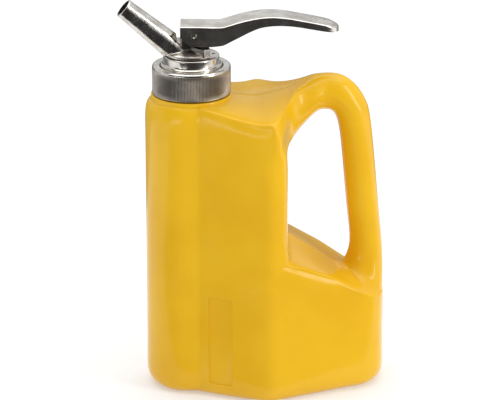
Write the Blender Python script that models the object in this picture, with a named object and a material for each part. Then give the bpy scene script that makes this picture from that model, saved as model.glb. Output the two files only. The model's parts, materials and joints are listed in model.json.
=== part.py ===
"""A plastic safety can with a cast metal lever tap.

A hollow blow-moulded can with a grip moulded behind a hand hole, closed by a screw ring that
holds a round flange. The flange carries a cast tap: a slanted spout, and a block in which a
sprung stem lifts a sealed plug off its seat when the long lever is pressed down. A flame
arrester and a vent tube hang from the tap inside the can's neck.

Sizes are millimetres in the neck's own frame: X and Y are zero on the neck's axis, Z is zero
on the table, the spout points to -X and the grip to +X. Heights of the tap's pieces are
stacked up from the neck's rim.
"""

import math

import bmesh
import bpy
import numpy as np
from mathutils import Matrix, Vector

for old in list(bpy.data.objects):
    bpy.data.objects.remove(old, do_unlink=True)

MM = 0.001
GAP = 0.3

# Can body: plan
BODY_WALL = 2.2
SKIN_LEVELS = 1
CAVITY_REACH = 1.3
COLUMN_R = 27.8
VALLEY_X = 5.0
FLANK_ANGLE = 29.0
FLANK_BOW = 4.0
CORNER_X = 43.5
CORNER_Y = 48.4
CORNER_SOFTENING = 0.9
TAPER_ANGLE = 19.6
REAR_WALL_X = 54.0
TAIL_X = 116.2
TAIL_SHOULDER_X = 98.5

# Can body: heights
BASE_FILLET = 9.5
COLUMN_TOP = 183.9
LEDGE_LEVEL = 87.5
SHOULDER_FALL = 1.9
SHOULDER_R = 6.2
SHOULDER_DROP = 8.0
COLLAR_R = 24.3
COLLAR_RISE = 0.2
COLLAR_FOOT = 4.6
DECK_DROP = 2.9
DECK_RISE = 2.6
DECK_CROWN = 4.8
DECK_FILLET = 5.4
CORNER_FILLET = 5.0
LEDGE_EDGE_Z = 85.4
LEDGE_EDGE_SLOPE = 0.49
LEDGE_RIDGE_Z = 92.0
LEDGE_RIDGE_SLOPE = 0.70
LEDGE_FILLET = 5.0
LEDGE_RIDGE_HALF = 9.0
LEDGE_DROPS = {4: 6.0, 3: 21.0}

# Can body: grip, a bent tube whose slices are given by their hole side and their outer side
GRIP_HALF_WIDTH = 10.0
GRIP_X = 100.0
HANDLE_ROOT_HALF_WIDTH = 13.0
HANDLE_CROWN_RISE = 9.4
GRIP_THICKNESS = 19.4
GRIP_LEAN = 5.6

# Bare panel pressed into the near flank
PANEL_START_X = 6.5
PANEL_WIDTH = 15.8
PANEL_BOTTOM = 9.0
PANEL_TOP = 65.0
PANEL_DEPTH = 0.7

# Threaded neck
NECK_R = 19.3
NECK_BORE_R = 16.9
NECK_HEIGHT = 11.1
THREAD_DEPTH = 1.1
THREAD_PITCH = 4.0
THREAD_TURNS = 1.5
THREAD_RISE = 3.7
THREAD_ROOT_HALF = 0.95
THREAD_CREST_HALF = 0.45
THREAD_SINK = 0.4
THREAD_CLEARANCE = 0.4

# Screw ring
RING_R = 23.5
RING_LIFT = 0.8
RING_HOLE_R = 18.75
RING_ROOF = 2.0
RING_SHOULDER = 1.55

# Gasket and flange disc
GASKET_THICKNESS = 1.6
FLANGE_LIP_THICKNESS = 2.2
FLANGE_HEIGHT = 10.6
FLANGE_TOP_R = 16.7
FLANGE_WAIST = 0.45
VENT_X = 13.2
VENT_R = 1.0

# Tap casting
HUB_R = 8.4
HUB_DROP = 7.2
SPIGOT_R = 6.6
SPIGOT_LENGTH = 6.0
FOOT_R = 15.7
FOOT_THICKNESS = 2.3
FOOT_RISE = 1.9
FOOT_RISE_R = 8.0
SHOULDER_HEIGHT = 3.6
SHOULDER_FRONT_X = 0.0
SHOULDER_MIDDLE_X = 5.0
SHOULDER_HALF_WIDTH = 13.0
SHOULDER_DRAFT = 0.4
BLOCK_FRONT = -7.0
BLOCK_REAR = 10.0
BLOCK_HALF_WIDTH = 7.6
BLOCK_HEIGHT = 14.5
SPOUT_ANGLE = 40.6
SPOUT_LENGTH = 52.7
SPOUT_ROOT_R = 8.4
SPOUT_MOUTH_R = 5.8
SPOUT_BORE_R = 4.8
SPOUT_ROOT_DEPTH = 7.1
SPOUT_HEEL_X = -9.0
SPOUT_HEEL_Z = 6.6

# Valve
VALVE_BORE_R = 5.2
INLET_R = 3.9
SEAT_LEDGE_DEPTH = 16.5
SEAT_THICKNESS = 1.8
SEAT_HOLE_R = 3.0
STEM_R = 1.5
SEAL_THICKNESS = 1.4
PLUG_THICKNESS = 2.3
PLUG_R = 4.4
PLUG_NUT_R = 2.3
PLUG_NUT_THICKNESS = 2.2
GLAND_HEIGHT = 3.8
GLAND_DEPTH = 11.0
O_RING_THICKNESS = 1.6
WASHER_THICKNESS = 0.6
STEM_HEAD_R = 4.4
STEM_HEAD_TOP_DEPTH = 0.7
SPRING_R = 3.2
SPRING_WIRE_R = 0.45
SPRING_TURNS = 5

# Pieces under the flange
FLANGE_SEAL_THICKNESS = 1.2
LOCK_NUT_THICKNESS = 4.4
LOCK_NUT_R = 11.2
ARRESTER_LENGTH = 40.0
ARRESTER_WALL = 0.8
ARRESTER_HOLE_R = 1.6
ARRESTER_HOLE_ROWS = 4
ARRESTER_HOLES = 6
ARRESTER_HOLE_MARGIN = 6.0
ARRESTER_CAP_THICKNESS = 1.6
VENT_TUBE_R = 1.6
VENT_TUBE_BORE_R = 0.9
VENT_TUBE_LENGTH = 76.0

# Lever
LEVER_SHEET = 1.5
LEVER_FRONT_X = -7.3
LEVER_TAIL_X = 88.2
LEVER_BEND_R = 0.9
PIN_X = 0.9
PIN_DEPTH = 3.7
PIN_R = 1.7
PIN_CLEARANCE = 0.2
LEVER_PRESS = 12.0

# Heights and radii that follow from the sizes above
neck_top = COLUMN_TOP + NECK_HEIGHT
thread_start = COLUMN_TOP + THREAD_RISE
ring_bottom = COLUMN_TOP + RING_LIFT
deck_low_z = COLUMN_TOP - DECK_DROP
gasket_bottom = neck_top + GAP
flange_bottom = gasket_bottom + GASKET_THICKNESS + GAP
lip_top = flange_bottom + FLANGE_LIP_THICKNESS
ring_roof_z = lip_top + GAP
ring_top = ring_roof_z + RING_ROOF
thread_crest_r = NECK_R + THREAD_DEPTH
ring_bore_r = thread_crest_r + THREAD_CLEARANCE
flange_top = flange_bottom + FLANGE_HEIGHT
foot_bottom = flange_top + GAP
foot_top = foot_bottom + FOOT_THICKNESS
block_top = foot_top + BLOCK_HEIGHT
hub_bottom = flange_bottom - HUB_DROP
spigot_bottom = hub_bottom - SPIGOT_LENGTH
spout_root_z = foot_top - SPOUT_ROOT_DEPTH
seat_ledge_z = foot_top - SEAT_LEDGE_DEPTH
seat_top = seat_ledge_z + GAP + SEAT_THICKNESS
seal_bottom = seat_top + GAP
plug_bottom = seal_bottom + SEAL_THICKNESS + GAP
plug_top = plug_bottom + PLUG_THICKNESS
gland_bottom = block_top - GLAND_DEPTH
gland_top = gland_bottom + GLAND_HEIGHT
washer_top = gland_bottom - GAP
washer_bottom = washer_top - WASHER_THICKNESS
lever_inner_half = BLOCK_HALF_WIDTH + GAP
lever_outer_half = lever_inner_half + LEVER_SHEET
pin_z = block_top - PIN_DEPTH
press = math.radians(LEVER_PRESS)
pin_reach = BLOCK_REAR - PIN_X
pin_lift = pin_reach * math.sin(press) + PIN_DEPTH * (1 - math.cos(press))
pin_drift = PIN_DEPTH * math.sin(press) - pin_reach * (1 - math.cos(press))
spout_up = math.radians(SPOUT_ANGLE)
spout_mouth_x = -SPOUT_LENGTH * math.cos(spout_up)
spout_front_x = spout_mouth_x - SPOUT_MOUTH_R * math.sin(spout_up)

# The frame's origin is under the middle of the whole can with its tap
NECK_X = -(TAIL_X + spout_front_x) / 2

YELLOW = (0.80, 0.40, 0.018)
NICKEL = (0.62, 0.58, 0.53)
BRASS = (0.60, 0.42, 0.16)
RUBBER = (0.03, 0.03, 0.032)
STEEL = (0.50, 0.50, 0.51)


def material(name, colour, roughness, metallic):
    """A plain surface of one colour."""
    made = bpy.data.materials.new(name)
    made.use_nodes = True
    shader = made.node_tree.nodes["Principled BSDF"]
    shader.inputs["Base Color"].default_value = (*colour, 1.0)
    shader.inputs["Roughness"].default_value = roughness
    shader.inputs["Metallic"].default_value = metallic
    return made


def empty(name, place, parent=None):
    """A named point that pieces hang on, at a place in the neck's frame."""
    point = bpy.data.objects.new(name, None)
    bpy.context.scene.collection.objects.link(point)
    point.parent = parent
    point.location = Vector(place) * MM
    return point


frame = empty("can_frame", (0, 0, 0))
frame.location.x = NECK_X * MM
lever_pivot = (BLOCK_REAR, 0.0, block_top)
axes = {
    "neck": (empty("neck_axis", (0, 0, 0), frame), Vector((0, 0, 0))),
    "lever": (empty("lever_axis", lever_pivot, frame), Vector(lever_pivot)),
}


def solid(name, mesh_builder, look, axis="neck", cutter=False):
    """Makes an object from a bmesh in neck-frame millimetres, with its origin on an axis."""
    parent, start = axes[axis]
    mesh_builder.transform(Matrix.Scale(MM, 4) @ Matrix.Translation(-start))
    bmesh.ops.recalc_face_normals(mesh_builder, faces=mesh_builder.faces)
    mesh = bpy.data.meshes.new(name)
    mesh_builder.to_mesh(mesh)
    mesh_builder.free()
    thing = bpy.data.objects.new(name, mesh)
    bpy.context.scene.collection.objects.link(thing)
    thing.parent = parent
    if cutter:
        thing.hide_render = True
        thing.display_type = "WIRE"
    else:
        mesh.materials.append(look)
        mesh.shade_smooth()
        mesh.set_sharp_from_angle(angle=math.radians(35))
    return thing


def combine(thing, operation, mesh_builder, axis="neck"):
    """Joins a shape to an object or cuts it away from it."""
    count = len(thing.modifiers) + 1
    tool = solid(f"{thing.name}_tool_{count}", mesh_builder, None, axis, cutter=True)
    boolean = thing.modifiers.new(f"{operation.lower()}_{count}", "BOOLEAN")
    boolean.operation = operation
    boolean.solver = "EXACT"
    boolean.object = tool
    return tool


def lathe(profile, steps=48, closed=True):
    """Turns a profile of radius and height around the Z axis; an open one ends on the axis."""
    shape = bmesh.new()
    points = [shape.verts.new((radius, 0, height)) for radius, height in profile]
    pairs = list(zip(points, points[1:]))
    if closed:
        pairs.append((points[-1], points[0]))
    edges = [shape.edges.new(pair) for pair in pairs]
    around = {"cent": (0, 0, 0), "axis": (0, 0, 1), "angle": 2 * math.pi}
    bmesh.ops.spin(shape, geom=points + edges, steps=steps, use_merge=True, **around)
    bmesh.ops.remove_doubles(shape, verts=shape.verts, dist=0.001)
    return shape


def rod(radius, bottom, top, steps=32):
    """A plain round bar around the Z axis."""
    return lathe([(0, bottom), (radius, bottom), (radius, top), (0, top)], steps, closed=False)


def tube(inner, outer, bottom, top, steps=48):
    """A plain round sleeve around the Z axis."""
    return lathe([(inner, bottom), (outer, bottom), (outer, top), (inner, top)], steps)


def box(low, high):
    """A block between two corners."""
    shape = bmesh.new()
    bmesh.ops.create_cube(shape, size=1.0)
    span = Vector(high) - Vector(low)
    middle = (Vector(high) + Vector(low)) / 2
    shape.transform(Matrix.Translation(middle) @ Matrix.Diagonal((*span, 1.0)))
    return shape


def cone(near_r, far_r, start, along, length, steps=32, shape=None):
    """A straight bar, round and tapered, from a point along a direction, added to a shape."""
    shape = shape or bmesh.new()
    turn = Vector((0, 0, 1)).rotation_difference(Vector(along)).to_matrix().to_4x4()
    place = Matrix.Translation(start) @ turn @ Matrix.Translation((0, 0, length / 2))
    bmesh.ops.create_cone(
        shape, cap_ends=True, segments=steps, radius1=near_r, radius2=far_r, depth=length, matrix=place
    )
    return shape


def skin(sections):
    """Covers a row of sections, each a closed loop of as many points, and closes both ends."""
    shape = bmesh.new()
    rings = [[shape.verts.new(point) for point in section] for section in sections]
    for ring, following in zip(rings, rings[1:]):
        for n in range(len(ring)):
            after = (n + 1) % len(ring)
            shape.faces.new((ring[n], ring[after], following[after], following[n]))
    shape.faces.new(rings[0])
    shape.faces.new(rings[-1])
    return shape


def helix_ridge(root_r, crest_r, start, turns, steps=32):
    """A screw thread: a ridge of trapezoid section, sunk a little into the wall it belongs to."""
    sink = math.copysign(THREAD_SINK, crest_r - root_r)
    sections = []
    for n in range(int(turns * steps) + 1):
        angle = 2 * math.pi * n / steps
        height = start + THREAD_PITCH * n / steps
        around = Vector((math.cos(angle), math.sin(angle), 0))
        outline = [
            (root_r - sink, -THREAD_ROOT_HALF),
            (crest_r, -THREAD_CREST_HALF),
            (crest_r, THREAD_CREST_HALF),
            (root_r - sink, THREAD_ROOT_HALF),
        ]
        sections.append([around * radius + Vector((0, 0, height + rise)) for radius, rise in outline])
    return skin(sections)


# Can body
# The skin is a smooth surface through the corners of a grid of cells: I along the can from the
# column's front to the tail, J across it and K upward. The hand hole is a set of missing cells.

LAST_I, LAST_J, LAST_K = 13, 6, 13
MIDDLE_J = LAST_J // 2
HOLE_I = range(7, 11)
HOLE_K = range(5, 11)
FAN = math.radians(22.5)
taper = math.tan(math.radians(TAPER_ANGLE))
flank = math.tan(math.radians(FLANK_ANGLE))
valley_y = COLUMN_R + (VALLEY_X - 0.5) * flank
corner_run = CORNER_X - VALLEY_X


def taper_y(x):
    """Half width of the tapering rear of the can."""
    return CORNER_Y - (x - CORNER_X) * taper


def flank_y(x):
    """Half width of the front flank, bowed a little outward between valley and corner."""
    share = (x - VALLEY_X) / corner_run
    return valley_y + (CORNER_Y - valley_y) * share + FLANK_BOW * share * (1 - share)


def column(degrees, radius):
    """A point on the front column: distance forward of its axis, and half width."""
    angle = math.radians(degrees)
    return -radius * math.cos(angle), radius * math.sin(angle)


tail_y = taper_y(TAIL_SHOULDER_X)
PLAN_X = [0, 0, 0, VALLEY_X, 20.0, 34.5, CORNER_X, 52.0, 60.5, 72.5, 84.0, 92.0, 101.5, 109.6]
COLUMN_DEGREES = [45, 67.5, 90]


def plan(i):
    """The outline's point at station I, as X and half width."""
    if i <= 2:
        return column(COLUMN_DEGREES[i], COLUMN_R)
    x = PLAN_X[i]
    if i < 6:
        return x, flank_y(x)
    if i == 6:
        return x, CORNER_Y - CORNER_SOFTENING
    if i == LAST_I:
        return x, tail_y * 0.80
    if i == LAST_I - 1:
        return x, tail_y * 0.97
    return x, taper_y(x)


def end_row(j, points):
    """Picks, by its distance from the middle, one of four points from side to middle."""
    x, y = points[MIDDLE_J - abs(j - MIDDLE_J)]
    return x, math.copysign(y, j - MIDDLE_J) if j != MIDDLE_J else 0.0


def front(j, radius):
    """The column's front, an arc of 90 degrees."""
    angle = math.radians(15 * (j - MIDDLE_J))
    return -radius * math.cos(angle), radius * math.sin(angle)


def tail(j, inset=0.0):
    """The rounded end behind the grip."""
    x, y = plan(LAST_I)
    points = [(x, y), (TAIL_X - 2.6, y * 0.70), (TAIL_X - 0.5, y * 0.35), (TAIL_X, 0)]
    x, y = end_row(j, points)
    return x - inset, y * (1 - inset / tail_y)


def across(j, half, edge):
    """Y of the rows on a broad face: one an edge width in from each side, and two beside the middle."""
    steps = [half, half - edge, half * 0.42, 0]
    y = steps[MIDDLE_J - abs(j - MIDDLE_J)]
    return math.copysign(y, j - MIDDLE_J) if j != MIDDLE_J else 0.0


def deck_fillet(x):
    """Radius of the deck's near and far edge, which tightens towards the corner."""
    share = min(1.0, max(0.0, (x - VALLEY_X) / corner_run))
    return DECK_FILLET + (CORNER_FILLET - DECK_FILLET) * share


def deck_z(x):
    """Height of the deck's middle line, from the column to the foot of the handle."""
    if x <= NECK_R - 1:
        return COLUMN_TOP
    if x <= 32:
        share = (x - NECK_R + 1) / (32 - NECK_R + 1)
        return COLUMN_TOP - DECK_DROP * math.sin(share * math.pi / 2)
    return deck_low_z + DECK_RISE * ((x - 32) / 22) ** 2


def ledge_z(x, across_share):
    """Height of the sloping ledge under the hand hole: a low roof with its ridge in the middle."""
    edge = LEDGE_EDGE_Z - LEDGE_EDGE_SLOPE * (x - 61)
    ridge = max(LEDGE_RIDGE_Z - LEDGE_RIDGE_SLOPE * (x - 59.4), edge)
    return ridge + (edge - ridge) * across_share


def level_z(share):
    """A height between the ledge's level and the column's top."""
    return LEDGE_LEVEL + (COLUMN_TOP - LEDGE_LEVEL) * share


lean = math.tan(math.radians(GRIP_LEAN))
grip_top_z = level_z(0.628)


def grip_slice(z, middle_x):
    """A slice of the leaning grip at a height."""
    return (middle_x - GRIP_THICKNESS / 2, z + 1), (middle_x + GRIP_THICKNESS / 2, z - 1)


def grip_middle(z):
    """X of the leaning grip's middle line at a height."""
    return GRIP_X + (grip_top_z - z) * lean * 0.95


def over_top(x, rise):
    """A place given by its X and its height over the column's top."""
    return x, COLUMN_TOP + rise


# The grip's slices, each with its place on the hole side and on the outer side, as X and Z
INNER_BEND = over_top(87.0, -16.9)
FOOT_SAG = 3.0
SLICES = {
    "root": (over_top(73.0, -14.9), over_top(71.5, HANDLE_CROWN_RISE - 1.2)),
    "arch": (over_top(80.0, -12.6), over_top(78.5, HANDLE_CROWN_RISE)),
    "crown": (INNER_BEND, over_top(86.3, HANDLE_CROWN_RISE - 0.2)),
    "bend_1": (INNER_BEND, over_top(94.0, 6.1)),
    "bend_2": (INNER_BEND, over_top(100.3, -0.3)),
    "bend_3": (INNER_BEND, over_top(104.7, -7.9)),
    "bend_4": (INNER_BEND, over_top(107.3, -16.9)),
    "foot": ((96.0, LEDGE_LEVEL + 0.5), (115.6, LEDGE_LEVEL - 2.5)),
}
for name, share in (("upper", 0.617), ("middle", 0.3995), ("lower", 0.1815)):
    SLICES[name] = grip_slice(level_z(share), grip_middle(level_z(share)))


def slice_point(name, row, j, half):
    """A point on a slice of the bent tube: row 1 faces the hole, row -1 outward, row 0 is its side."""
    (near_x, near_z), (far_x, far_z) = SLICES[name]
    angle = FAN * (j - MIDDLE_J)
    middle_x = (near_x + far_x) / 2
    middle_z = (near_z + far_z) / 2
    if row == 0:
        sag = FOOT_SAG if name == "foot" else 0.0
        return middle_x, math.copysign(half, j - MIDDLE_J), middle_z - sag
    reach = row * math.cos(angle)
    x = middle_x + (near_x - middle_x) * reach
    z = middle_z + (near_z - middle_z) * reach
    return x, half * math.sin(angle), z


WALL_Z = [0, BASE_FILLET, 26.0, 56.0, 76.0, LEDGE_LEVEL]
WALL_Z += [level_z(share) for share in (0.109, 0.2125, 0.337, 0.482, 0.628, 0.7625)]
TUBE_SPOTS = {
    (9, 11): ("root", 1),
    (9, 12): ("root", 0),
    (9, 13): ("root", -1),
    (10, 11): ("arch", 1),
    (10, 12): ("arch", 0),
    (10, 13): ("arch", -1),
    (11, 11): ("bend_2", 1),
    (11, 12): ("crown", 0),
    (11, 13): ("crown", -1),
    (12, 13): ("bend_1", -1),
    (12, 12): ("bend_2", 0),
    (13, 13): ("bend_2", -1),
    (13, 12): ("bend_3", -1),
    (13, 11): ("bend_4", -1),
    (12, 11): ("bend_4", 0),
}
for level, name in ((10, "upper"), (9, "middle"), (8, "lower"), (7, "foot")):
    for station, side in ((11, 1), (12, 0), (13, -1)):
        TUBE_SPOTS[station, level] = (name, side)


def base_point(i, j):
    """The underside: a flat floor inside a rounded rim."""
    rim = BASE_FILLET * 0.29
    x, half = plan(i)
    if i == 0:
        return (*front(j, COLUMN_R - rim), rim)
    if i == LAST_I:
        return (*tail(j, rim), rim)
    if j in (0, LAST_J):
        return x, math.copysign(half - rim, j - MIDDLE_J), rim
    y = across(j, half, BASE_FILLET)
    if i == 1:
        x -= 2.0 * (MIDDLE_J - abs(j - MIDDLE_J))
    return x, y, -0.6


def top_point(i, j):
    """The shoulder round the neck and the crowned deck."""
    x, half = plan(i)
    rim = SHOULDER_R * 0.29
    shoulder_z = COLUMN_TOP - SHOULDER_FALL
    rim_z = shoulder_z - SHOULDER_DROP * 0.29
    if i == 0:
        return (*front(j, COLUMN_R - rim), rim_z)
    side = abs(j - MIDDLE_J) == MIDDLE_J
    if i <= 2:
        if side:
            x, half = column(COLUMN_DEGREES[i], COLUMN_R - rim)
            return x, math.copysign(half, j - MIDDLE_J), rim_z
        if i == 1:
            x -= 2.5 * (MIDDLE_J - abs(j - MIDDLE_J))
        inside = i == 2 and abs(j - MIDDLE_J) < MIDDLE_J - 1
        return x, across(j, half, SHOULDER_R), COLUMN_TOP if inside else shoulder_z
    middle = deck_z(x)
    if i == 3:
        middle -= 0.2
    crown = SHOULDER_FALL + (DECK_CROWN - SHOULDER_FALL) * min(1.0, max(0.0, (x - VALLEY_X) / 15))
    drop = deck_fillet(x) * 0.29
    if side:
        return x, math.copysign(half - drop, j - MIDDLE_J), middle - crown - drop
    y = across(j, half, deck_fillet(x))
    return x, y, middle - crown * (y / half) ** 2


# Where the deck runs into the handle: four points from side to middle, Z over the column's top
JUNCTION_TOP = [(48.0, 42.2, -8.3), (52.0, 31.5, -4.3), (55.0, 15.0, -0.5), (56.5, 0, 1.1)]
JUNCTION_SIDE = (50.2, 43.6, -15.4)
JUNCTION_HOLE = [(50.4, 43.8, -23.9), (REAR_WALL_X, 34.0, -26.9), (55.2, 13.0, -32.4), (56.0, 0, -33.7)]
FLARE_TOP = [(59.0, 18.6, -3.4), (60.5, 13.5, 1.7), (61.8, 6.5, 3.3), (62.5, 0, 3.8)]
FLARE_SIDE = (58.2, 20.2, -11.9)
FLARE_HOLE = [(58.4, 18.5, -19.9), (60.6, 13.5, -23.5), (62.2, 6.5, -25.0), (62.8, 0, -25.4)]
LEDGE_WALL = [(51.2, 44.4, 87.6), (REAR_WALL_X + 0.6, 37.5, 90.8), (55.2, 8.0, 94.8), (55.4, 0, 95.6)]

# Round the grip's foot: the ledge just outside it, and the foot itself above its fillet
LEDGE_FRONT = [(98.4, 27.6, 65.0), (95.0, 19.0, 68.0), (92.0, 7.5, 72.0), (90.8, 0, 73.2)]
LEDGE_SIDE = (102.8, 25.9, 62.0)
LEDGE_REAR = [(109.0, 21.4, 59.4), (112.9, 15.0, 58.6), (115.3, 7.6, 58.2), (TAIL_X - 0.1, 0, 58.4)]
FOOT_FRONT = [(100.8, 12.6, 69.8), (97.4, 9.4, 73.2), (95.0, 5.0, 76.6), (94.2, 0, 78.4)]
FOOT_SIDE = (105.4, 14.0, 67.6)
FOOT_REAR = [(110.0, 12.8, 67.0), (113.5, 9.2, 68.2), (115.6, 4.8, 69.6), (TAIL_X, 0, 70.4)]


def spread(j, points, level=0.0):
    """Picks one of four points from side to middle, puts it on the right side and at its level."""
    x, y, z = points[MIDDLE_J - abs(j - MIDDLE_J)]
    return x, math.copysign(y, j - MIDDLE_J) if j != MIDDLE_J else 0.0, level + z


def ledge_point(i, j):
    """The ledge under the hand hole, and the top of the tail round the grip's foot."""
    x, half = plan(i)
    ends = {7: LEDGE_WALL, 11: LEDGE_FRONT, 12: [LEDGE_SIDE] * 4, 13: LEDGE_REAR}
    if i in ends:
        return spread(j, ends[i])
    edge = LEDGE_FILLET * 0.29
    rows = [half - edge, half - LEDGE_FILLET, LEDGE_RIDGE_HALF, 0]
    y = rows[MIDDLE_J - abs(j - MIDDLE_J)]
    z = ledge_z(x, y / half)
    if abs(j - MIDDLE_J) == MIDDLE_J:
        z = ledge_z(x, 1.0) - edge
    return x, math.copysign(y, j - MIDDLE_J) if j != MIDDLE_J else 0.0, z


def side_point(i, j, k):
    """The upright walls: column, flank, corner, taper and tail."""
    x, half = plan(i)
    z = WALL_Z[min(k, 11)]
    if k == LAST_K - 1:
        edge = COLUMN_TOP - SHOULDER_FALL - SHOULDER_DROP
        if i > 2:
            edge = deck_z(x) - DECK_CROWN - deck_fillet(x)
        z = edge - 2.5
    if k in LEDGE_DROPS and i >= 7:
        z = ledge_z(x, 1.0) - LEDGE_DROPS[k]
    if i == 0:
        return (*front(j, COLUMN_R), z)
    if i == LAST_I:
        return (*tail(j), z)
    return x, math.copysign(half, j - MIDDLE_J), z


def skin_point(i, j, k):
    """Where the can's skin passes for a corner of the grid."""
    if k == 0:
        return base_point(i, j)
    if (i, k) in TUBE_SPOTS:
        name, row = TUBE_SPOTS[i, k]
        half = HANDLE_ROOT_HALF_WIDTH if name == "root" else GRIP_HALF_WIDTH
        return slice_point(name, row, j, half)
    if k == 5 and i >= 7:
        return ledge_point(i, j)
    if k == 6 and i >= 11:
        return spread(j, {11: FOOT_FRONT, 12: [FOOT_SIDE] * 4, 13: FOOT_REAR}[i])
    if i == 7 and k >= 11:
        return spread(j, {13: JUNCTION_TOP, 12: [JUNCTION_SIDE] * 4, 11: JUNCTION_HOLE}[k], COLUMN_TOP)
    if i == 8 and k >= 11:
        return spread(j, {13: FLARE_TOP, 12: [FLARE_SIDE] * 4, 11: FLARE_HOLE}[k], COLUMN_TOP)
    if k == LAST_K:
        return top_point(i, j)
    if i == 7 and k >= 6:
        rows = [(50.4, 43.8), (REAR_WALL_X, 35.0), (REAR_WALL_X, 10.0), (REAR_WALL_X, 0)]
        return (*end_row(j, rows), WALL_Z[k] + (3.0 if k == 6 else 0.0))
    return side_point(i, j, k)


def cell_cage():
    """Lists the grid corners on the surface, and the faces between a cell and open space."""
    cells = {
        (i, j, k)
        for i in range(LAST_I)
        for j in range(LAST_J)
        for k in range(LAST_K)
        if not (i in HOLE_I and k in HOLE_K)
    }
    faces = []
    for i, j, k in sorted(cells):
        for step, corners in (
            ((-1, 0, 0), ((0, 0, 0), (0, 0, 1), (0, 1, 1), (0, 1, 0))),
            ((1, 0, 0), ((1, 0, 0), (1, 1, 0), (1, 1, 1), (1, 0, 1))),
            ((0, -1, 0), ((0, 0, 0), (1, 0, 0), (1, 0, 1), (0, 0, 1))),
            ((0, 1, 0), ((0, 1, 0), (0, 1, 1), (1, 1, 1), (1, 1, 0))),
            ((0, 0, -1), ((0, 0, 0), (0, 1, 0), (1, 1, 0), (1, 0, 0))),
            ((0, 0, 1), ((0, 0, 1), (1, 0, 1), (1, 1, 1), (0, 1, 1))),
        ):
            if (i + step[0], j + step[1], k + step[2]) not in cells:
                faces.append([(i + a, j + b, k + c) for a, b, c in corners])
    corners = sorted({corner for face in faces for corner in face})
    number = {corner: n for n, corner in enumerate(corners)}
    return corners, np.array([[number[corner] for corner in face] for face in faces])


def fitted(targets, faces, rounds=3):
    """Moves the cage's corners out until its smoothed skin passes through the wanted points."""
    valence = np.bincount(faces.ravel(), minlength=len(targets))[:, None]
    cage = targets.copy()
    for _ in range(rounds):
        around = np.zeros_like(cage)
        for n in range(4):
            beside = cage[faces[:, (n + 1) % 4]] + cage[faces[:, (n + 3) % 4]]
            np.add.at(around, faces[:, n], 2 * beside + cage[faces[:, (n + 2) % 4]])
        smooth = (valence**2 * cage + around) / (valence * (valence + 5))
        cage += targets - smooth
    return cage


def body_skin():
    """The can's outer skin without its neck, standing flat on the table."""
    corners, faces = cell_cage()
    targets = np.array([skin_point(*corner) for corner in corners])
    mesh = bpy.data.meshes.new("skin_cage")
    mesh.from_pydata(fitted(targets, faces).tolist(), [], faces.tolist())
    holder = bpy.data.objects.new("skin_cage", mesh)
    bpy.context.scene.collection.objects.link(holder)
    smooth = holder.modifiers.new("smooth", "SUBSURF")
    smooth.levels = SKIN_LEVELS
    smooth.render_levels = SKIN_LEVELS
    graph = bpy.context.evaluated_depsgraph_get()
    shape = bmesh.new()
    shape.from_mesh(holder.evaluated_get(graph).to_mesh())
    bpy.data.objects.remove(holder, do_unlink=True)
    for vert in shape.verts:
        vert.co.z = max(vert.co.z, 0.0)
        vert.co.x = min(vert.co.x, TAIL_X)
    return shape


def body_cavity():
    """The space inside the can: the grid's own corners, moved in by the wall's thickness."""
    corners, faces = cell_cage()
    shape = bmesh.new()
    points = [shape.verts.new(skin_point(*corner)) for corner in corners]
    for face in faces:
        shape.faces.new([points[n] for n in face])
    bmesh.ops.recalc_face_normals(shape, faces=shape.faces)
    moved = [vert.co - vert.normal * BODY_WALL * CAVITY_REACH for vert in shape.verts]
    for vert, place in zip(shape.verts, moved):
        vert.co = place
    return shape


def collar():
    """The low round collar of the can under the screw ring."""
    profile = [
        (NECK_R - 0.8, -COLLAR_FOOT + 1.6),
        (COLLAR_R - 2.3, -COLLAR_FOOT + 1.2),
        (COLLAR_R - 0.2, -COLLAR_FOOT),
        (COLLAR_R, -COLLAR_FOOT + 0.6),
        (COLLAR_R, COLLAR_RISE - 0.7),
        (COLLAR_R - 0.7, COLLAR_RISE),
        (NECK_R - 0.8, COLLAR_RISE),
    ]
    return lathe([(radius, COLUMN_TOP + rise) for radius, rise in profile], 48)


def can_body():
    """The hollow moulding: skin, wall, threaded neck with its bore, and the bare panel."""
    body = solid("can_body", body_skin(), material("can_yellow", YELLOW, 0.35, 0.0))
    combine(body, "DIFFERENCE", body_cavity())
    combine(body, "UNION", collar())
    combine(body, "UNION", rod(NECK_R, COLUMN_TOP - BODY_WALL / 2, neck_top, 48))
    combine(body, "UNION", helix_ridge(NECK_R, thread_crest_r, thread_start, THREAD_TURNS))
    combine(body, "DIFFERENCE", rod(NECK_BORE_R, COLUMN_TOP - 4 * BODY_WALL, neck_top + 1, 48))
    panel_x = PANEL_START_X + PANEL_WIDTH * math.cos(math.radians(FLANK_ANGLE)) / 2
    half = PANEL_WIDTH / 2
    panel = box((-half, -PANEL_DEPTH * 4, PANEL_BOTTOM), (half, PANEL_DEPTH, PANEL_TOP))
    turn = Matrix.Rotation(-math.radians(FLANK_ANGLE), 4, "Z")
    panel.transform(Matrix.Translation((panel_x, -flank_y(panel_x), 0)) @ turn)
    combine(body, "DIFFERENCE", panel)
    return body


def neck_gasket():
    """The flat washer between the neck's rim and the flange."""
    sleeve = tube(NECK_BORE_R + 0.2, thread_crest_r - 0.2, gasket_bottom, gasket_bottom + GASKET_THICKNESS)
    return solid("neck_gasket", sleeve, material("gasket_black", RUBBER, 0.7, 0.0))


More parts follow.
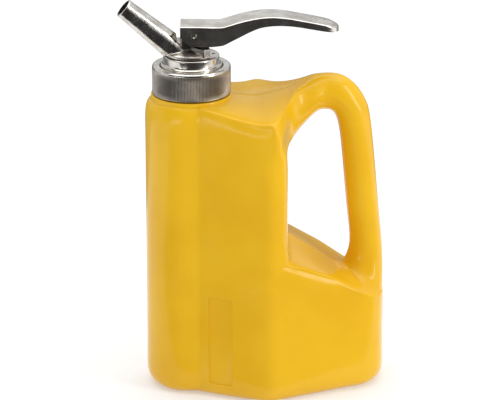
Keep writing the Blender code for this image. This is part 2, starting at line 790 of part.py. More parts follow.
def cap_ring():
    """The screw ring: a turned nickel ring with a rounded shoulder and an inside thread."""
    shoulder_z = ring_top - RING_SHOULDER
    profile = [
        (ring_bore_r, ring_bottom),
        (RING_R - 0.5, ring_bottom),
        (RING_R, ring_bottom + 0.5),
        (RING_R, shoulder_z - 0.6),
        (RING_R - 0.25, shoulder_z),
        (RING_R - 1.0, shoulder_z + 0.75),
        (RING_R - 2.2, ring_top - 0.35),
        (RING_HOLE_R + 0.6, ring_top),
        (RING_HOLE_R, ring_top - 0.5),
        (RING_HOLE_R, ring_roof_z),
        (ring_bore_r, ring_roof_z),
    ]
    ring = solid("cap_ring", lathe(profile, 48), material("ring_nickel", NICKEL, 0.3, 1.0))
    groove_z = thread_start - THREAD_PITCH / 2
    combine(ring, "UNION", helix_ridge(ring_bore_r, NECK_R + THREAD_CLEARANCE, groove_z, THREAD_TURNS))
    return ring


def flange_disc():
    """The turned disc that the ring holds down: a lip under the ring's roof and a drum above it."""
    waist_r = RING_HOLE_R - FLANGE_WAIST
    profile = [
        (HUB_R + GAP, flange_bottom),
        (thread_crest_r, flange_bottom),
        (thread_crest_r, lip_top),
        (waist_r, lip_top),
        (waist_r, ring_top),
        (waist_r - 1.0, ring_top + 0.9),
        (FLANGE_TOP_R + 0.1, ring_top + 1.9),
        (FLANGE_TOP_R, flange_top - 0.6),
        (FLANGE_TOP_R - 0.6, flange_top),
        (HUB_R + GAP, flange_top),
    ]
    disc = solid("flange_disc", lathe(profile, 48), material("flange_nickel", NICKEL, 0.2, 1.0))
    up = Vector((0, 0, 1))
    vent = cone(VENT_R, VENT_R, (VENT_X, 0, flange_bottom - 1), up, FLANGE_HEIGHT + 2, 16)
    combine(disc, "DIFFERENCE", vent)
    socket_r = VENT_TUBE_R + GAP
    socket = cone(socket_r, socket_r, (VENT_X, 0, flange_bottom - 1), up, FLANGE_HEIGHT - 0.5, 16)
    combine(disc, "DIFFERENCE", socket)
    return disc


def flange_seal():
    """The rubber washer that seals the casting's hub against the underside of the flange."""
    top = flange_bottom - GAP
    sleeve = tube(HUB_R + GAP, LOCK_NUT_R, top - FLANGE_SEAL_THICKNESS, top, 32)
    return solid("flange_seal", sleeve, material("flange_seal_black", RUBBER, 0.7, 0.0))


def lock_nut():
    """The hexagon nut that pulls the casting down onto the flange."""
    top = flange_bottom - GAP - FLANGE_SEAL_THICKNESS - GAP
    bottom = top - LOCK_NUT_THICKNESS
    nut = solid("lock_nut", rod(LOCK_NUT_R, bottom, top, 6), material("lock_nut_brass", BRASS, 0.35, 1.0))
    bore = rod(HUB_R + GAP, bottom - 1, top + 1, 32)
    combine(nut, "DIFFERENCE", bore)
    return nut


def block_shoulder():
    """The wide lower part of the block, which runs out to the foot's rim below the lever."""
    sections = []
    for height, draft in ((foot_bottom + 1.2, 0.0), (foot_top + SHOULDER_HEIGHT, SHOULDER_DRAFT)):
        near = BLOCK_HALF_WIDTH - 0.6 - draft
        wide = SHOULDER_HALF_WIDTH - draft
        rear = math.sqrt(FOOT_R**2 - BLOCK_REAR**2) - 0.6 - draft
        side = [
            (SHOULDER_FRONT_X + draft, near),
            (SHOULDER_MIDDLE_X + draft, wide),
            (BLOCK_REAR + 0.7, rear),
        ]
        outline = side + [(x, -y) for x, y in reversed(side)]
        sections.append([(x, y, height) for x, y in outline])
    return skin(sections)


def tap_casting():
    """The cast tap: hub, foot, block and spout in one piece, with the bores that hold the valve."""
    profile = [
        (0, spigot_bottom),
        (SPIGOT_R, spigot_bottom),
        (SPIGOT_R, hub_bottom),
        (HUB_R, hub_bottom),
        (HUB_R, foot_bottom),
        (FOOT_R - 0.5, foot_bottom),
        (FOOT_R, foot_bottom + 0.5),
        (FOOT_R, foot_top - 0.8),
        (FOOT_R - 0.8, foot_top),
        (FOOT_RISE_R, foot_top + FOOT_RISE),
        (0, foot_top + FOOT_RISE),
    ]
    casting = solid("tap_casting", lathe(profile, 48, False), material("cast_nickel", NICKEL, 0.35, 1.0))
    combine(casting, "UNION", block_shoulder())
    flat = box((BLOCK_REAR, -FOOT_R - 1, hub_bottom + 1), (FOOT_R + 1, FOOT_R + 1, block_top))
    combine(casting, "DIFFERENCE", flat)
    along = Vector((-math.cos(spout_up), 0, math.sin(spout_up)))
    root = Vector((0, 0, spout_root_z))
    horn = solid("horn", cone(SPOUT_ROOT_R, SPOUT_MOUTH_R, root, along, SPOUT_LENGTH), None, cutter=True)
    heel_low = (SPOUT_HEEL_X, -FOOT_R, foot_top + SPOUT_HEEL_Z)
    combine(horn, "DIFFERENCE", box(heel_low, (FOOT_R, FOOT_R, block_top + 20)))
    root_low = (-SPOUT_LENGTH, -FOOT_R, hub_bottom)
    combine(horn, "DIFFERENCE", box(root_low, (FOOT_R, FOOT_R, foot_bottom + 0.2)))
    joined = casting.modifiers.new("spout", "BOOLEAN")
    joined.operation = "UNION"
    joined.solver = "EXACT"
    joined.object = horn
    low = (BLOCK_FRONT, -BLOCK_HALF_WIDTH, foot_bottom + 1)
    block = box(low, (BLOCK_REAR, BLOCK_HALF_WIDTH, block_top))
    combine(casting, "UNION", block)
    combine(casting, "DIFFERENCE", rod(VALVE_BORE_R, seat_ledge_z, block_top + 1, 32))
    combine(casting, "DIFFERENCE", rod(INLET_R, spigot_bottom - 1, seat_ledge_z + 1, 32))
    combine(casting, "DIFFERENCE", cone(SPOUT_BORE_R, SPOUT_BORE_R, root, along, SPOUT_LENGTH + 1, 24))
    slot_low = PIN_X - PIN_R - pin_drift - 2 * PIN_CLEARANCE
    slot_high = PIN_X + PIN_R + 2 * PIN_CLEARANCE
    slot_half = BLOCK_HALF_WIDTH + 1
    slot = box((slot_low, -slot_half, pin_z - PIN_R - GAP), (slot_high, slot_half, block_top + 1))
    combine(casting, "DIFFERENCE", slot)
    return casting


def valve_seat():
    """The brass ring that the plug closes on."""
    sleeve = tube(SEAT_HOLE_R, VALVE_BORE_R - GAP, seat_top - SEAT_THICKNESS, seat_top, 32)
    return solid("valve_seat", sleeve, material("seat_brass", BRASS, 0.25, 1.0))


def valve_stem():
    """The sliding stem: a thin rod with a head that the lever's pin lifts."""
    rod_bottom = seal_bottom - GAP - PLUG_NUT_THICKNESS - 0.6
    head_bottom = pin_z - PIN_R - PIN_CLEARANCE - 0.9
    head_top = block_top - STEM_HEAD_TOP_DEPTH
    profile = [
        (0, rod_bottom),
        (STEM_R, rod_bottom),
        (STEM_R, head_bottom),
        (STEM_HEAD_R, head_bottom),
        (STEM_HEAD_R, head_top),
        (0, head_top),
    ]
    stem = solid("valve_stem", lathe(profile, 32, False), material("stem_steel", STEEL, 0.25, 1.0))
    eye_low = PIN_X - PIN_R - pin_drift - PIN_CLEARANCE
    eye_high = PIN_X + PIN_R + PIN_CLEARANCE
    eye_half = PIN_R + PIN_CLEARANCE
    eye = box((eye_low, -STEM_HEAD_R - 1, pin_z - eye_half), (eye_high, STEM_HEAD_R + 1, pin_z + eye_half))
    combine(stem, "DIFFERENCE", eye)
    return stem


def valve_plug():
    """The disc that pushes the seal onto its seat."""
    sleeve = tube(STEM_R + GAP, PLUG_R, plug_bottom, plug_top, 32)
    return solid("valve_plug", sleeve, material("plug_brass", BRASS, 0.3, 1.0))


def plug_seal():
    """The rubber face of the plug."""
    sleeve = tube(STEM_R + GAP, PLUG_R - 0.2, seal_bottom, seal_bottom + SEAL_THICKNESS, 32)
    return solid("plug_seal", sleeve, material("plug_seal_black", RUBBER, 0.7, 0.0))


def plug_nut():
    """The nut that clamps seal and plug on the stem, hanging in the seat's hole."""
    top = seal_bottom - GAP
    sleeve = tube(STEM_R + 0.2, PLUG_NUT_R, top - PLUG_NUT_THICKNESS, top, 24)
    return solid("plug_nut", sleeve, material("plug_nut_steel", STEEL, 0.3, 1.0))


def gland_nut():
    """The screwed bush that closes the valve chamber and guides the stem."""
    profile = [
        (STEM_R + 1.6 + 0.2, gland_bottom),
        (VALVE_BORE_R - GAP, gland_bottom),
        (VALVE_BORE_R - GAP, gland_top),
        (STEM_R + GAP, gland_top),
        (STEM_R + GAP, gland_bottom + O_RING_THICKNESS + 0.2),
        (STEM_R + 1.6 + 0.2, gland_bottom + O_RING_THICKNESS + 0.2),
    ]
    return solid("gland_nut", lathe(profile, 32), material("gland_brass", BRASS, 0.3, 1.0))


def stem_o_ring():
    """The O-ring that seals the stem inside the gland."""
    middle_r = STEM_R + 0.2 + 0.7
    middle_z = gland_bottom + O_RING_THICKNESS / 2
    profile = []
    for n in range(8):
        angle = 2 * math.pi * n / 8
        profile.append((middle_r + 0.7 * math.cos(angle), middle_z + 0.7 * math.sin(angle)))
    return solid("stem_o_ring", lathe(profile, 24), material("o_ring_black", RUBBER, 0.6, 0.0))


def spring_washer():
    """The washer that the spring presses against the gland."""
    sleeve = tube(STEM_R + GAP, PLUG_R, washer_bottom, washer_top, 24)
    return solid("spring_washer", sleeve, material("washer_steel", STEEL, 0.3, 1.0))


def return_spring():
    """The coil spring that pushes the plug back onto its seat."""
    low = plug_top + GAP + SPRING_WIRE_R
    high = washer_bottom - GAP - SPRING_WIRE_R
    steps = SPRING_TURNS * 12
    sections = []
    for n in range(steps + 1):
        angle = 2 * math.pi * n / 12
        around = Vector((math.cos(angle), math.sin(angle), 0))
        middle = around * SPRING_R + Vector((0, 0, low + (high - low) * n / steps))
        section = []
        for m in range(6):
            turn = 2 * math.pi * m / 6
            offset = around * math.cos(turn) + Vector((0, 0, math.sin(turn)))
            section.append(middle + offset * SPRING_WIRE_R)
        sections.append(section)
    return solid("return_spring", skin(sections), material("spring_steel", STEEL, 0.25, 1.0))


def flame_arrester():
    """The perforated sleeve on the hub's spigot."""
    inner = SPIGOT_R + GAP
    outer = inner + ARRESTER_WALL
    top = hub_bottom - GAP
    bottom = top - ARRESTER_LENGTH
    sleeve = solid(
        "flame_arrester", tube(inner, outer, bottom, top, 36), material("arrester_steel", STEEL, 0.35, 1.0)
    )
    holes = bmesh.new()
    lowest = bottom + ARRESTER_HOLE_MARGIN
    highest = top - SPIGOT_LENGTH - ARRESTER_HOLE_MARGIN
    for row in range(ARRESTER_HOLE_ROWS):
        height = lowest + (highest - lowest) * row / (ARRESTER_HOLE_ROWS - 1)
        for n in range(ARRESTER_HOLES // 2):
            angle = 2 * math.pi * (n + 0.5 * (row % 2)) / ARRESTER_HOLES
            along = Vector((math.cos(angle), math.sin(angle), 0))
            start = Vector((0, 0, height)) - along * (outer + 1)
            cone(ARRESTER_HOLE_R, ARRESTER_HOLE_R, start, along, 2 * outer + 2, 8, holes)
    combine(sleeve, "DIFFERENCE", holes)
    return sleeve


def arrester_cap():
    """The cap that closes the sleeve's lower end."""
    inner = SPIGOT_R + GAP
    outer = inner + ARRESTER_WALL
    bottom = hub_bottom - GAP - ARRESTER_LENGTH
    profile = [
        (0, bottom - GAP - ARRESTER_CAP_THICKNESS),
        (outer, bottom - GAP - ARRESTER_CAP_THICKNESS),
        (outer, bottom - GAP),
        (SPIGOT_R, bottom - GAP),
        (SPIGOT_R, bottom + 3.0),
        (0, bottom + 3.0),
    ]
    return solid("arrester_cap", lathe(profile, 36, False), material("arrester_cap_brass", BRASS, 0.35, 1.0))


def vent_tube():
    """The thin tube that lets air in below the flange's vent hole."""
    top = flange_bottom + FLANGE_HEIGHT - 1.5 - GAP
    sleeve = tube(VENT_TUBE_BORE_R, VENT_TUBE_R, top - VENT_TUBE_LENGTH, top, 16)
    sleeve.transform(Matrix.Translation((VENT_X, 0, 0)))
    return solid("vent_tube", sleeve, material("vent_tube_brass", BRASS, 0.35, 1.0))


# Lever: heights above the block's top, by X, of the sheet's top and of its flanges' lower edge
LEVER_TOP = [
    (LEVER_FRONT_X, 2.46),
    (17.0, 1.54),
    (20.0, 1.95),
    (29.0, 4.4),
    (35.0, 5.6),
    (41.0, 6.55),
    (48.0, 6.8),
    (59.0, 5.5),
    (65.0, 4.2),
    (74.0, 2.2),
    (LEVER_TAIL_X, -1.2),
]
LEVER_EDGE = [
    (LEVER_FRONT_X, -4.1),
    (-1.5, -9.5),
    (17.5, -10.1),
    (22.2, -7.8),
    (29.3, -4.3),
    (34.0, -2.0),
    (39.0, 0.0),
    (46.0, 1.2),
    (53.0, 1.3),
    (58.0, 0.9),
    (64.0, 0.0),
    (70.0, -1.2),
    (76.0, -2.3),
    (LEVER_TAIL_X, -4.6),
]


def height_at(points, x):
    """The height on a line of points, straight between them."""
    xs, zs = zip(*points)
    return float(np.interp(x, xs, zs))


def lever_section(x, half, top, edge, bend):
    """A closed loop across the lever: flat top, rounded shoulders and straight sides."""
    soft = bend * 0.29
    side = [(half, edge), (half, top - bend), (half - soft, top - soft), (half - bend, top)]
    loop = side + [(-y, z) for y, z in reversed(side)]
    return [(x, y, block_top + z) for y, z in loop]


def lever_solid(inset):
    """The lever as a full bar with a round tail; inset leaves room for the sheet's thickness."""
    half = lever_outer_half - inset
    centre = LEVER_TAIL_X - lever_outer_half
    stations = sorted({x for x, _ in LEVER_TOP + LEVER_EDGE if x < centre - 1})
    if inset:
        stations[0] -= 1.0
    sections = []
    bend = max(LEVER_BEND_R - inset, 0.4)
    drop = 2.0 if inset else 0.0
    for x in stations:
        top = height_at(LEVER_TOP, x) - inset
        sections.append(lever_section(x, half, top, height_at(LEVER_EDGE, x) - drop, bend))
    for n in range(9):
        angle = math.radians(10 * n)
        x = centre + half * math.sin(angle)
        width = half * math.cos(angle)
        top = height_at(LEVER_TOP, x) - inset
        round_off = min(bend, width * 0.6)
        sections.append(lever_section(x, width, top, height_at(LEVER_EDGE, x) - drop, round_off))
    return skin(sections)


def lever():
    """The pressed sheet lever: a channel open below, deep at the front, shallow at the thumb end."""
    made = solid("lever", lever_solid(0.0), material("lever_steel", NICKEL, 0.15, 1.0), "lever")
    combine(made, "DIFFERENCE", lever_solid(LEVER_SHEET), "lever")
    hole_r = PIN_R + PIN_CLEARANCE
    start = (PIN_X, -lever_outer_half - 1, pin_z)
    hole = cone(hole_r, hole_r, start, (0, 1, 0), 2 * lever_outer_half + 2, 24)
    combine(made, "DIFFERENCE", hole, "lever")
    return made


def lever_pin():
    """The rolled pin through the lever's flanges and the stem's eye."""
    half = lever_outer_half + 0.1
    pin = cone(PIN_R, PIN_R, (PIN_X, -half, pin_z), (0, 1, 0), 2 * half, 24)
    made = solid("lever_pin", pin, material("pin_steel", STEEL, 0.3, 1.0), "lever")
    bore = cone(PIN_R * 0.45, PIN_R * 0.45, (PIN_X, -half - 1, pin_z), (0, 1, 0), 2 * half + 2, 12)
    combine(made, "DIFFERENCE", bore, "lever")
    return made


for build in (
    can_body,
    neck_gasket,
    cap_ring,
    flange_disc,
    flange_seal,
    lock_nut,
    tap_casting,
    valve_seat,
    valve_stem,
    valve_plug,
    plug_seal,
    plug_nut,
    gland_nut,
    stem_o_ring,
    spring_washer,
    return_spring,
    flame_arrester,
    arrester_cap,
    vent_tube,
    lever,
    lever_pin,
):
    build()
print(f"neck axis at X {NECK_X:.3f}, block top {block_top:.2f}, stem lift {pin_lift:.3f}")
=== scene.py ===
# %% [markdown]
# # A plastic safety can with a lever tap
# The object is a yellow polyethylene can of about one litre, blow-moulded in one piece with a grip
# behind a hand hole. A knurled nickel ring holds a polished flange on its neck. The flange carries
# a cast tap with a slanted spout and a long pressed lever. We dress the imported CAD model: pieces
# that need finer shape are modelled anew in the same place, the others get a better material.

# %% Load the CAD frame
import json
import math

import bmesh
import bpy
import numpy as np
from mathutils import Matrix, Vector, noise

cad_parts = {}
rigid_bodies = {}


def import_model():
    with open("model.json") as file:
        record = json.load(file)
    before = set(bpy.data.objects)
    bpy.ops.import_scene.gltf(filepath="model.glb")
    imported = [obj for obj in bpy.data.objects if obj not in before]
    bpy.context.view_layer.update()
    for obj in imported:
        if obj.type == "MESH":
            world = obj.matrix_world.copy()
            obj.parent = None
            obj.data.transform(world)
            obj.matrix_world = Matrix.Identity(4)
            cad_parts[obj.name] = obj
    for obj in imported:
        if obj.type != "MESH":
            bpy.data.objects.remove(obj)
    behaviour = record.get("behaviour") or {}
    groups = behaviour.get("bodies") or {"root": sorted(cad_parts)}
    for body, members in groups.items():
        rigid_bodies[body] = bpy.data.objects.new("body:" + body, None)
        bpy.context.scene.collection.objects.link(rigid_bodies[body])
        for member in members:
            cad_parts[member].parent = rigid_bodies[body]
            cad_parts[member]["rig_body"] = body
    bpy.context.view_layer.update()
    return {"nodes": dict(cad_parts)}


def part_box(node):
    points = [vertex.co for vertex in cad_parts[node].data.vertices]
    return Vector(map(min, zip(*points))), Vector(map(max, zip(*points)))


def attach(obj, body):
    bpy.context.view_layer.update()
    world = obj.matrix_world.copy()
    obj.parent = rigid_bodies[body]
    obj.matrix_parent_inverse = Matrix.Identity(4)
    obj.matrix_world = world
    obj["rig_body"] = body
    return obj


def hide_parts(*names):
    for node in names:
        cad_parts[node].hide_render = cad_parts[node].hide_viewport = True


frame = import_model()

# %% [markdown]
# ## Working in millimetres round the neck
# Nearly everything here is measured from the neck's axis, so every shape is drawn in millimetres
# with the neck at X and Y zero, and one function moves it to its place in metres. The axis and
# many heights are read from the CAD nodes' boxes.

# %% Sizes read from the CAD nodes
MM = 0.001
UP = Vector((0, 0, 1))


def node_box(name):
    """A CAD node's lowest and highest corner, in millimetres round the neck's axis."""
    low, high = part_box(name)
    places = [(corner.x / MM - neck_x, corner.y / MM, corner.z / MM) for corner in (low, high)]
    return [Vector(place) for place in places]


neck_x = 0.0
ring_low, ring_high = node_box("cap_ring")
neck_x = (ring_low.x + ring_high.x) / 2
ring_low, ring_high = node_box("cap_ring")
flange_low, flange_high = node_box("flange_disc")
stub_low = node_box("tap_casting")[0].z
lever_low, lever_high = node_box("lever")
body_high = node_box("can_body")[1]
ring_r = ring_high.x
SEAT_GAP, FOOT_HEIGHT, BLOCK_HEIGHT = 0.3, 2.3, 14.5
block_top = flange_high.z + SEAT_GAP + FOOT_HEIGHT + BLOCK_HEIGHT
print(f"neck axis at X {neck_x:.3f} mm, ring radius {ring_r:.2f}, body top {body_high.z:.2f}")

# %% [markdown]
# ## Turning a mesh into a piece
# A finished piece needs its place in its mesh, faces that point outward, smooth shading that
# breaks at real edges, a material, and a body to ride on. A few functions do this, so that the
# later cells are about shapes only.

# %% Functions that finish a piece
def in_scene(name, shape):
    """Puts a mesh into the scene as an object."""
    mesh = bpy.data.meshes.new(name)
    shape.to_mesh(mesh)
    shape.free()
    thing = bpy.data.objects.new(name, mesh)
    bpy.context.scene.collection.objects.link(thing)
    return thing


def to_object(name, shape):
    """Puts a mesh drawn in millimetres round the neck into the scene, in metres."""
    bmesh.ops.recalc_face_normals(shape, faces=shape.faces)
    shape.transform(Matrix.Translation((neck_x * MM, 0, 0)) @ Matrix.Scale(MM, 4))
    return in_scene(name, shape)


def modify(thing, kind, **settings):
    """Adds a modifier and applies it, so that the mesh itself has the new shape."""
    change = thing.modifiers.new(kind, kind)
    for key, value in settings.items():
        setattr(change, key, value)
    graph = bpy.context.evaluated_depsgraph_get()
    mesh = bpy.data.meshes.new_from_object(thing.evaluated_get(graph))
    thing.modifiers.clear()
    old = thing.data
    thing.data = mesh
    bpy.data.meshes.remove(old)


def piece(thing, look, slot, *nodes, angle=35):
    """Gives a piece its material and shading, and lets it stand for CAD nodes."""
    thing.data.materials.clear()
    thing.data.materials.append(look)
    thing.data.shade_smooth()
    thing.data.set_sharp_from_angle(angle=math.radians(angle))
    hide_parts(*nodes)
    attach(thing, frame["nodes"][nodes[0]]["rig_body"])
    print(f"{thing.name}: {len(thing.data.polygons)} faces")


def cut(thing, tool, operation="DIFFERENCE"):
    """Cuts a mesh or an object out of a piece, or joins it on, and clears the tool away."""
    if isinstance(tool, bmesh.types.BMesh):
        tool = to_object(f"{thing.name}_tool", tool)
    modify(thing, "BOOLEAN", operation=operation, solver="MANIFOLD", object=tool)
    bpy.data.objects.remove(tool, do_unlink=True)


def soften(shape, edges, radius, segments=3):
    """Bevels some edges round."""
    kind = {"profile": 0.5, "affect": "EDGES", "material": -1}
    bmesh.ops.bevel(shape, geom=edges, offset=radius, segments=segments, **kind)


# %% [markdown]
# ## Shader maths as Python sums
# A worn or dirty surface is a sum of many small patterns. Wiring each Math node by hand hides
# what is meant, so a small class wraps a socket: adding or multiplying two of them adds the node.

# %% A socket that can be added and multiplied
def math_pair(operation):
    """The method that adds a Math node, and the same for a number on the left of the sign."""

    def left(self, other):
        return self.node("ShaderNodeMath", {"operation": operation}, {0: self, 1: other})

    def right(self, other):
        return self.node("ShaderNodeMath", {"operation": operation}, {0: other, 1: self})

    return left, right


class Wire:
    """One output of a shader node; sums and products of wires become Math nodes."""

    __add__, __radd__ = math_pair("ADD")
    __sub__, __rsub__ = math_pair("SUBTRACT")
    __mul__, __rmul__ = math_pair("MULTIPLY")
    __truediv__, __rtruediv__ = math_pair("DIVIDE")
    __pow__, __rpow__ = math_pair("POWER")

    def __init__(self, tree, socket):
        self.tree = tree
        self.socket = socket

    def node(self, kind, settings=(), inputs=(), output=0):
        """Adds any other node: its settings first, then the values or links of its sockets."""
        made = self.tree.nodes.new(kind)
        for key, value in dict(settings).items():
            setattr(made, key, value)
        for key, value in dict(inputs).items():
            if isinstance(value, Wire):
                self.tree.links.new(value.socket, made.inputs[key])
            else:
                made.inputs[key].default_value = value
        return Wire(self.tree, made.outputs[output])

    def clamped(self):
        return self.node("ShaderNodeClamp", (), {"Value": self})

    def ease(self, low, high):
        """Rises smoothly from 0 to 1 as this value goes from low to high."""
        limits = {"Value": self, "From Min": low, "From Max": high}
        return self.node("ShaderNodeMapRange", {"interpolation_type": "SMOOTHSTEP"}, limits)

    def part(self, axis):
        """X, Y or Z of a place, counted from 0."""
        return self.node("ShaderNodeSeparateXYZ", (), {0: self}, output=axis)

    def speckle(self, size, detail=2.0, stretch=(1, 1, 1)):
        """Noise from 0 to 1 whose blotches are about size millimetres across."""
        scaled = self.node("ShaderNodeMapping", (), {"Vector": self, "Scale": stretch})
        inputs = {"Vector": scaled, "Scale": 1 / (size * MM), "Detail": detail}
        return self.node("ShaderNodeTexNoise", (), inputs)

    def tint(self, dark, light):
        """Mixes two colours, the first where this wire is 0 and the second where it is 1."""
        ends = [end if isinstance(end, Wire) else (*end, 1) for end in (dark, light)]
        inputs = {0: self, 6: ends[0], 7: ends[1]}
        return self.node("ShaderNodeMix", {"data_type": "RGBA"}, inputs, output=2)


def start_look(name, **constants):
    """An empty material, and the wire of the object's own coordinates."""
    made = bpy.data.materials.new(name)
    made.use_nodes = True
    tree = made.node_tree
    shader = tree.nodes["Principled BSDF"]
    for key, value in constants.items():
        shader.inputs[key.replace("_", " ")].default_value = value
    coordinates = tree.nodes.new("ShaderNodeTexCoord")
    return made, Wire(tree, coordinates.outputs["Object"])


def end_look(look, colour, roughness, height=None, depth=0.1):
    """Feeds the finished patterns to the shader; depth is the relief's height in millimetres."""
    tree = look.node_tree
    shader = tree.nodes["Principled BSDF"]
    tree.links.new(colour.socket, shader.inputs["Base Color"])
    tree.links.new(roughness.socket, shader.inputs["Roughness"])
    if height is not None:
        inputs = {"Height": height, "Distance": depth * MM, "Strength": 1.0}
        relief = height.node("ShaderNodeBump", (), inputs)
        tree.links.new(relief.socket, shader.inputs["Normal"])
    return look


# %% [markdown]
# ## Yellow polyethylene
# Blow-moulded polyethylene is smooth but never flawless: the wall's thickness varies and tints it
# in soft clouds, the mould leaves a fine orange peel, and handling dulls it in patches and leaves
# short light scratches. Each is one noise pattern at its own scale.

# %% The can's plastic
YELLOW_DEEP = (0.73, 0.405, 0.009)
YELLOW_PALE = (0.78, 0.455, 0.013)
SCUFF = (0.86, 0.60, 0.12)


def polyethylene(name):
    look, spot = start_look(name, IOR=1.5, Specular_IOR_Level=0.3)
    clouds = spot.speckle(45, 3.0).ease(0.3, 0.7)
    grain = spot.speckle(0.9, 3.0)
    peel = spot.speckle(2.6, 1.0)
    along = spot.speckle(1.2, 2.0, (0.12, 1, 1)).ease(0.66, 0.74)
    down = spot.speckle(1.4, 2.0, (1, 1, 0.15)).ease(0.67, 0.75)
    worn = spot.speckle(17, 2.0).ease(0.52, 0.72)
    scratches = ((along + down) * worn).clamped()
    colour = (scratches * 0.14).tint(clouds.tint(YELLOW_DEEP, YELLOW_PALE), SCUFF)
    roughness = 0.15 + 0.06 * worn + 0.04 * grain + 0.08 * scratches
    height = 0.5 * peel + 0.12 * grain - 0.2 * scratches
    return end_look(look, colour, roughness, height, 0.03)


can_yellow = polyethylene("yellow_polyethylene")

# %% [markdown]
# ## Nickel plate
# The ring, flange, lever and casting are all nickel plated, but over different ground. Turned
# and pressed pieces are nearly mirrors with fine polishing lines and dull fingerprints, and one
# function makes both. The knurl and the rough casting break the same plate up into bright and
# brown specks, so they get finishes of their own further on.

# %% The metal finishes
NICKEL_WARM = (0.56, 0.52, 0.46)
NICKEL_BRIGHT = (0.76, 0.73, 0.68)
TARNISH = (0.17, 0.13, 0.095)


def plated(name, gloss, smudge, lines, tarnish, relief, light=1.0):
    look, spot = start_look(name, Metallic=1.0)
    clouds = spot.speckle(7, 3.0).ease(0.3, 0.7)
    pits = spot.speckle(1.3, 4.0)
    spots = spot.speckle(2.9, 3.0).ease(0.56, 0.74) * tarnish
    brushed = spot.speckle(0.5, 2.0, lines)
    prints = spot.speckle(5, 4.0).ease(0.48, 0.68)
    shades = [[part * light for part in shade] for shade in (NICKEL_WARM, NICKEL_BRIGHT)]
    colour = spots.tint(clouds.tint(*shades), TARNISH)
    roughness = gloss + smudge * prints + 0.06 * brushed + 0.25 * spots
    height = 0.85 * pits + 0.15 * brushed
    return end_look(look, colour, roughness, height, relief)


nickel_turned = plated("turned_nickel", 0.13, 0.08, (0.3, 0.3, 1), 0.10, 0.02)
nickel_lever = plated("pressed_nickel", 0.15, 0.08, (0.06, 1, 1), 0.06, 0.015, light=1.16)

# %% [markdown]
# ## Plan of the can
# From above the can is a round column under the neck, a flank that widens to two soft corners,
# and a tail that tapers to the grip. The body is easiest to control as a coarse grid of corners
# with a subdivision surface through them, so these functions say where each corner belongs.

# %% Outline of the can from above
LAST_I, LAST_J, LAST_K = 13, 6, 13
MIDDLE_J = 3
COLUMN_R = 27.8
VALLEY_X = 5.0
CORNER_X, CORNER_Y = 43.5, 48.4
REAR_X = 54.0
TAIL_X = body_high.x
taper = math.tan(math.radians(19.6))
flank_angle = math.radians(29)
valley_y = COLUMN_R + (VALLEY_X - 0.5) * math.tan(flank_angle)
tail_y = CORNER_Y - (98.5 - CORNER_X) * taper
PLAN_X = [0, 0, 0, VALLEY_X, 20.0, 34.5, CORNER_X, 52.0, 60.5, 72.5, 84.0, 92.0, 101.5, 109.6]
COLUMN_DEGREES = [45, 67.5, 90]


def flank_y(x):
    """Half width of the front flank, bowed a little outward."""
    share = (x - VALLEY_X) / (CORNER_X - VALLEY_X)
    return valley_y + (CORNER_Y - valley_y) * share + 4.0 * share * (1 - share)


def column(degrees, radius):
    """A point on the front column: distance forward of its axis, and half width."""
    angle = math.radians(degrees)
    return -radius * math.cos(angle), radius * math.sin(angle)


def plan(i):
    """The outline at station i, as X and half width."""
    if i <= 2:
        return column(COLUMN_DEGREES[i], COLUMN_R)
    x = PLAN_X[i]
    if i < 6:
        return x, flank_y(x)
    half = CORNER_Y - (x - CORNER_X) * taper
    ends = {6: CORNER_Y - 0.9, LAST_I: tail_y * 0.80, LAST_I - 1: tail_y * 0.97}
    return x, ends.get(i, half)


def signed(y, j):
    """Puts a half width on its own side of the middle."""
    return math.copysign(y, j - MIDDLE_J) if j != MIDDLE_J else 0.0


def from_middle(j, points):
    """Picks one of four points, side first and middle last."""
    return points[MIDDLE_J - abs(j - MIDDLE_J)]


def front(j, radius):
    """The column's front, an arc of 90 degrees."""
    return column(15 * (j - MIDDLE_J), radius)


def tail(j, inset=0.0):
    """The rounded end behind the grip."""
    x, y = plan(LAST_I)
    end = [(x, y), (TAIL_X - 2.6, y * 0.70), (TAIL_X - 0.5, y * 0.35), (TAIL_X, 0)]
    x, y = from_middle(j, end)
    return x - inset, signed(y * (1 - inset / tail_y), j)


def across(j, half, edge):
    """Y of the rows on a broad face: an edge width in from each side, and beside the middle."""
    return signed(from_middle(j, [half, half - edge, half * 0.42, 0]), j)


# %% [markdown]
# ## Heights of the can
# The deck slopes down from the round shoulder and rises again towards the handle. Below the hand
# hole the can has a low roof with a ridge that falls towards the grip's foot.

# %% Deck, ledge and walls
NECK_R = 19.3
COLUMN_TOP, SHOULDER_FALL, SHOULDER_R, SHOULDER_DROP = 183.9, 1.9, 6.2, 8.0
DECK_Z, DECK_CROWN = 181.0, 4.8
DECK_FILLET, CORNER_FILLET = 5.4, 5.0
BASE_FILLET = 9.5
LEDGE_FILLET = 5.0
# How far the middle of a quarter round lies inside each face, as a share of its radius
ROUND = 0.29
# The deck is lowest at this X, and rises from there to the foot of the handle
SADDLE_X, HANDLE_RISE, HANDLE_RUN = 32, 2.6, 22
LEDGE_EDGE_Z, LEDGE_EDGE_SLOPE = 85.4, 0.49
LEDGE_RIDGE_Z, LEDGE_RIDGE_SLOPE = 92.0, 0.70
WALL_Z = [0, BASE_FILLET, 26.0, 56.0, 76.0, 87.5, 98.0, 108.0, 120.0, 134.0, 148.0, 161.0]
LEDGE_DROPS = {4: 6.0, 3: 21.0}


def deck_fillet(x):
    """Radius of the deck's near and far edge, which tightens towards the corner."""
    share = min(1.0, max(0.0, (x - VALLEY_X) / (CORNER_X - VALLEY_X)))
    return DECK_FILLET + (CORNER_FILLET - DECK_FILLET) * share


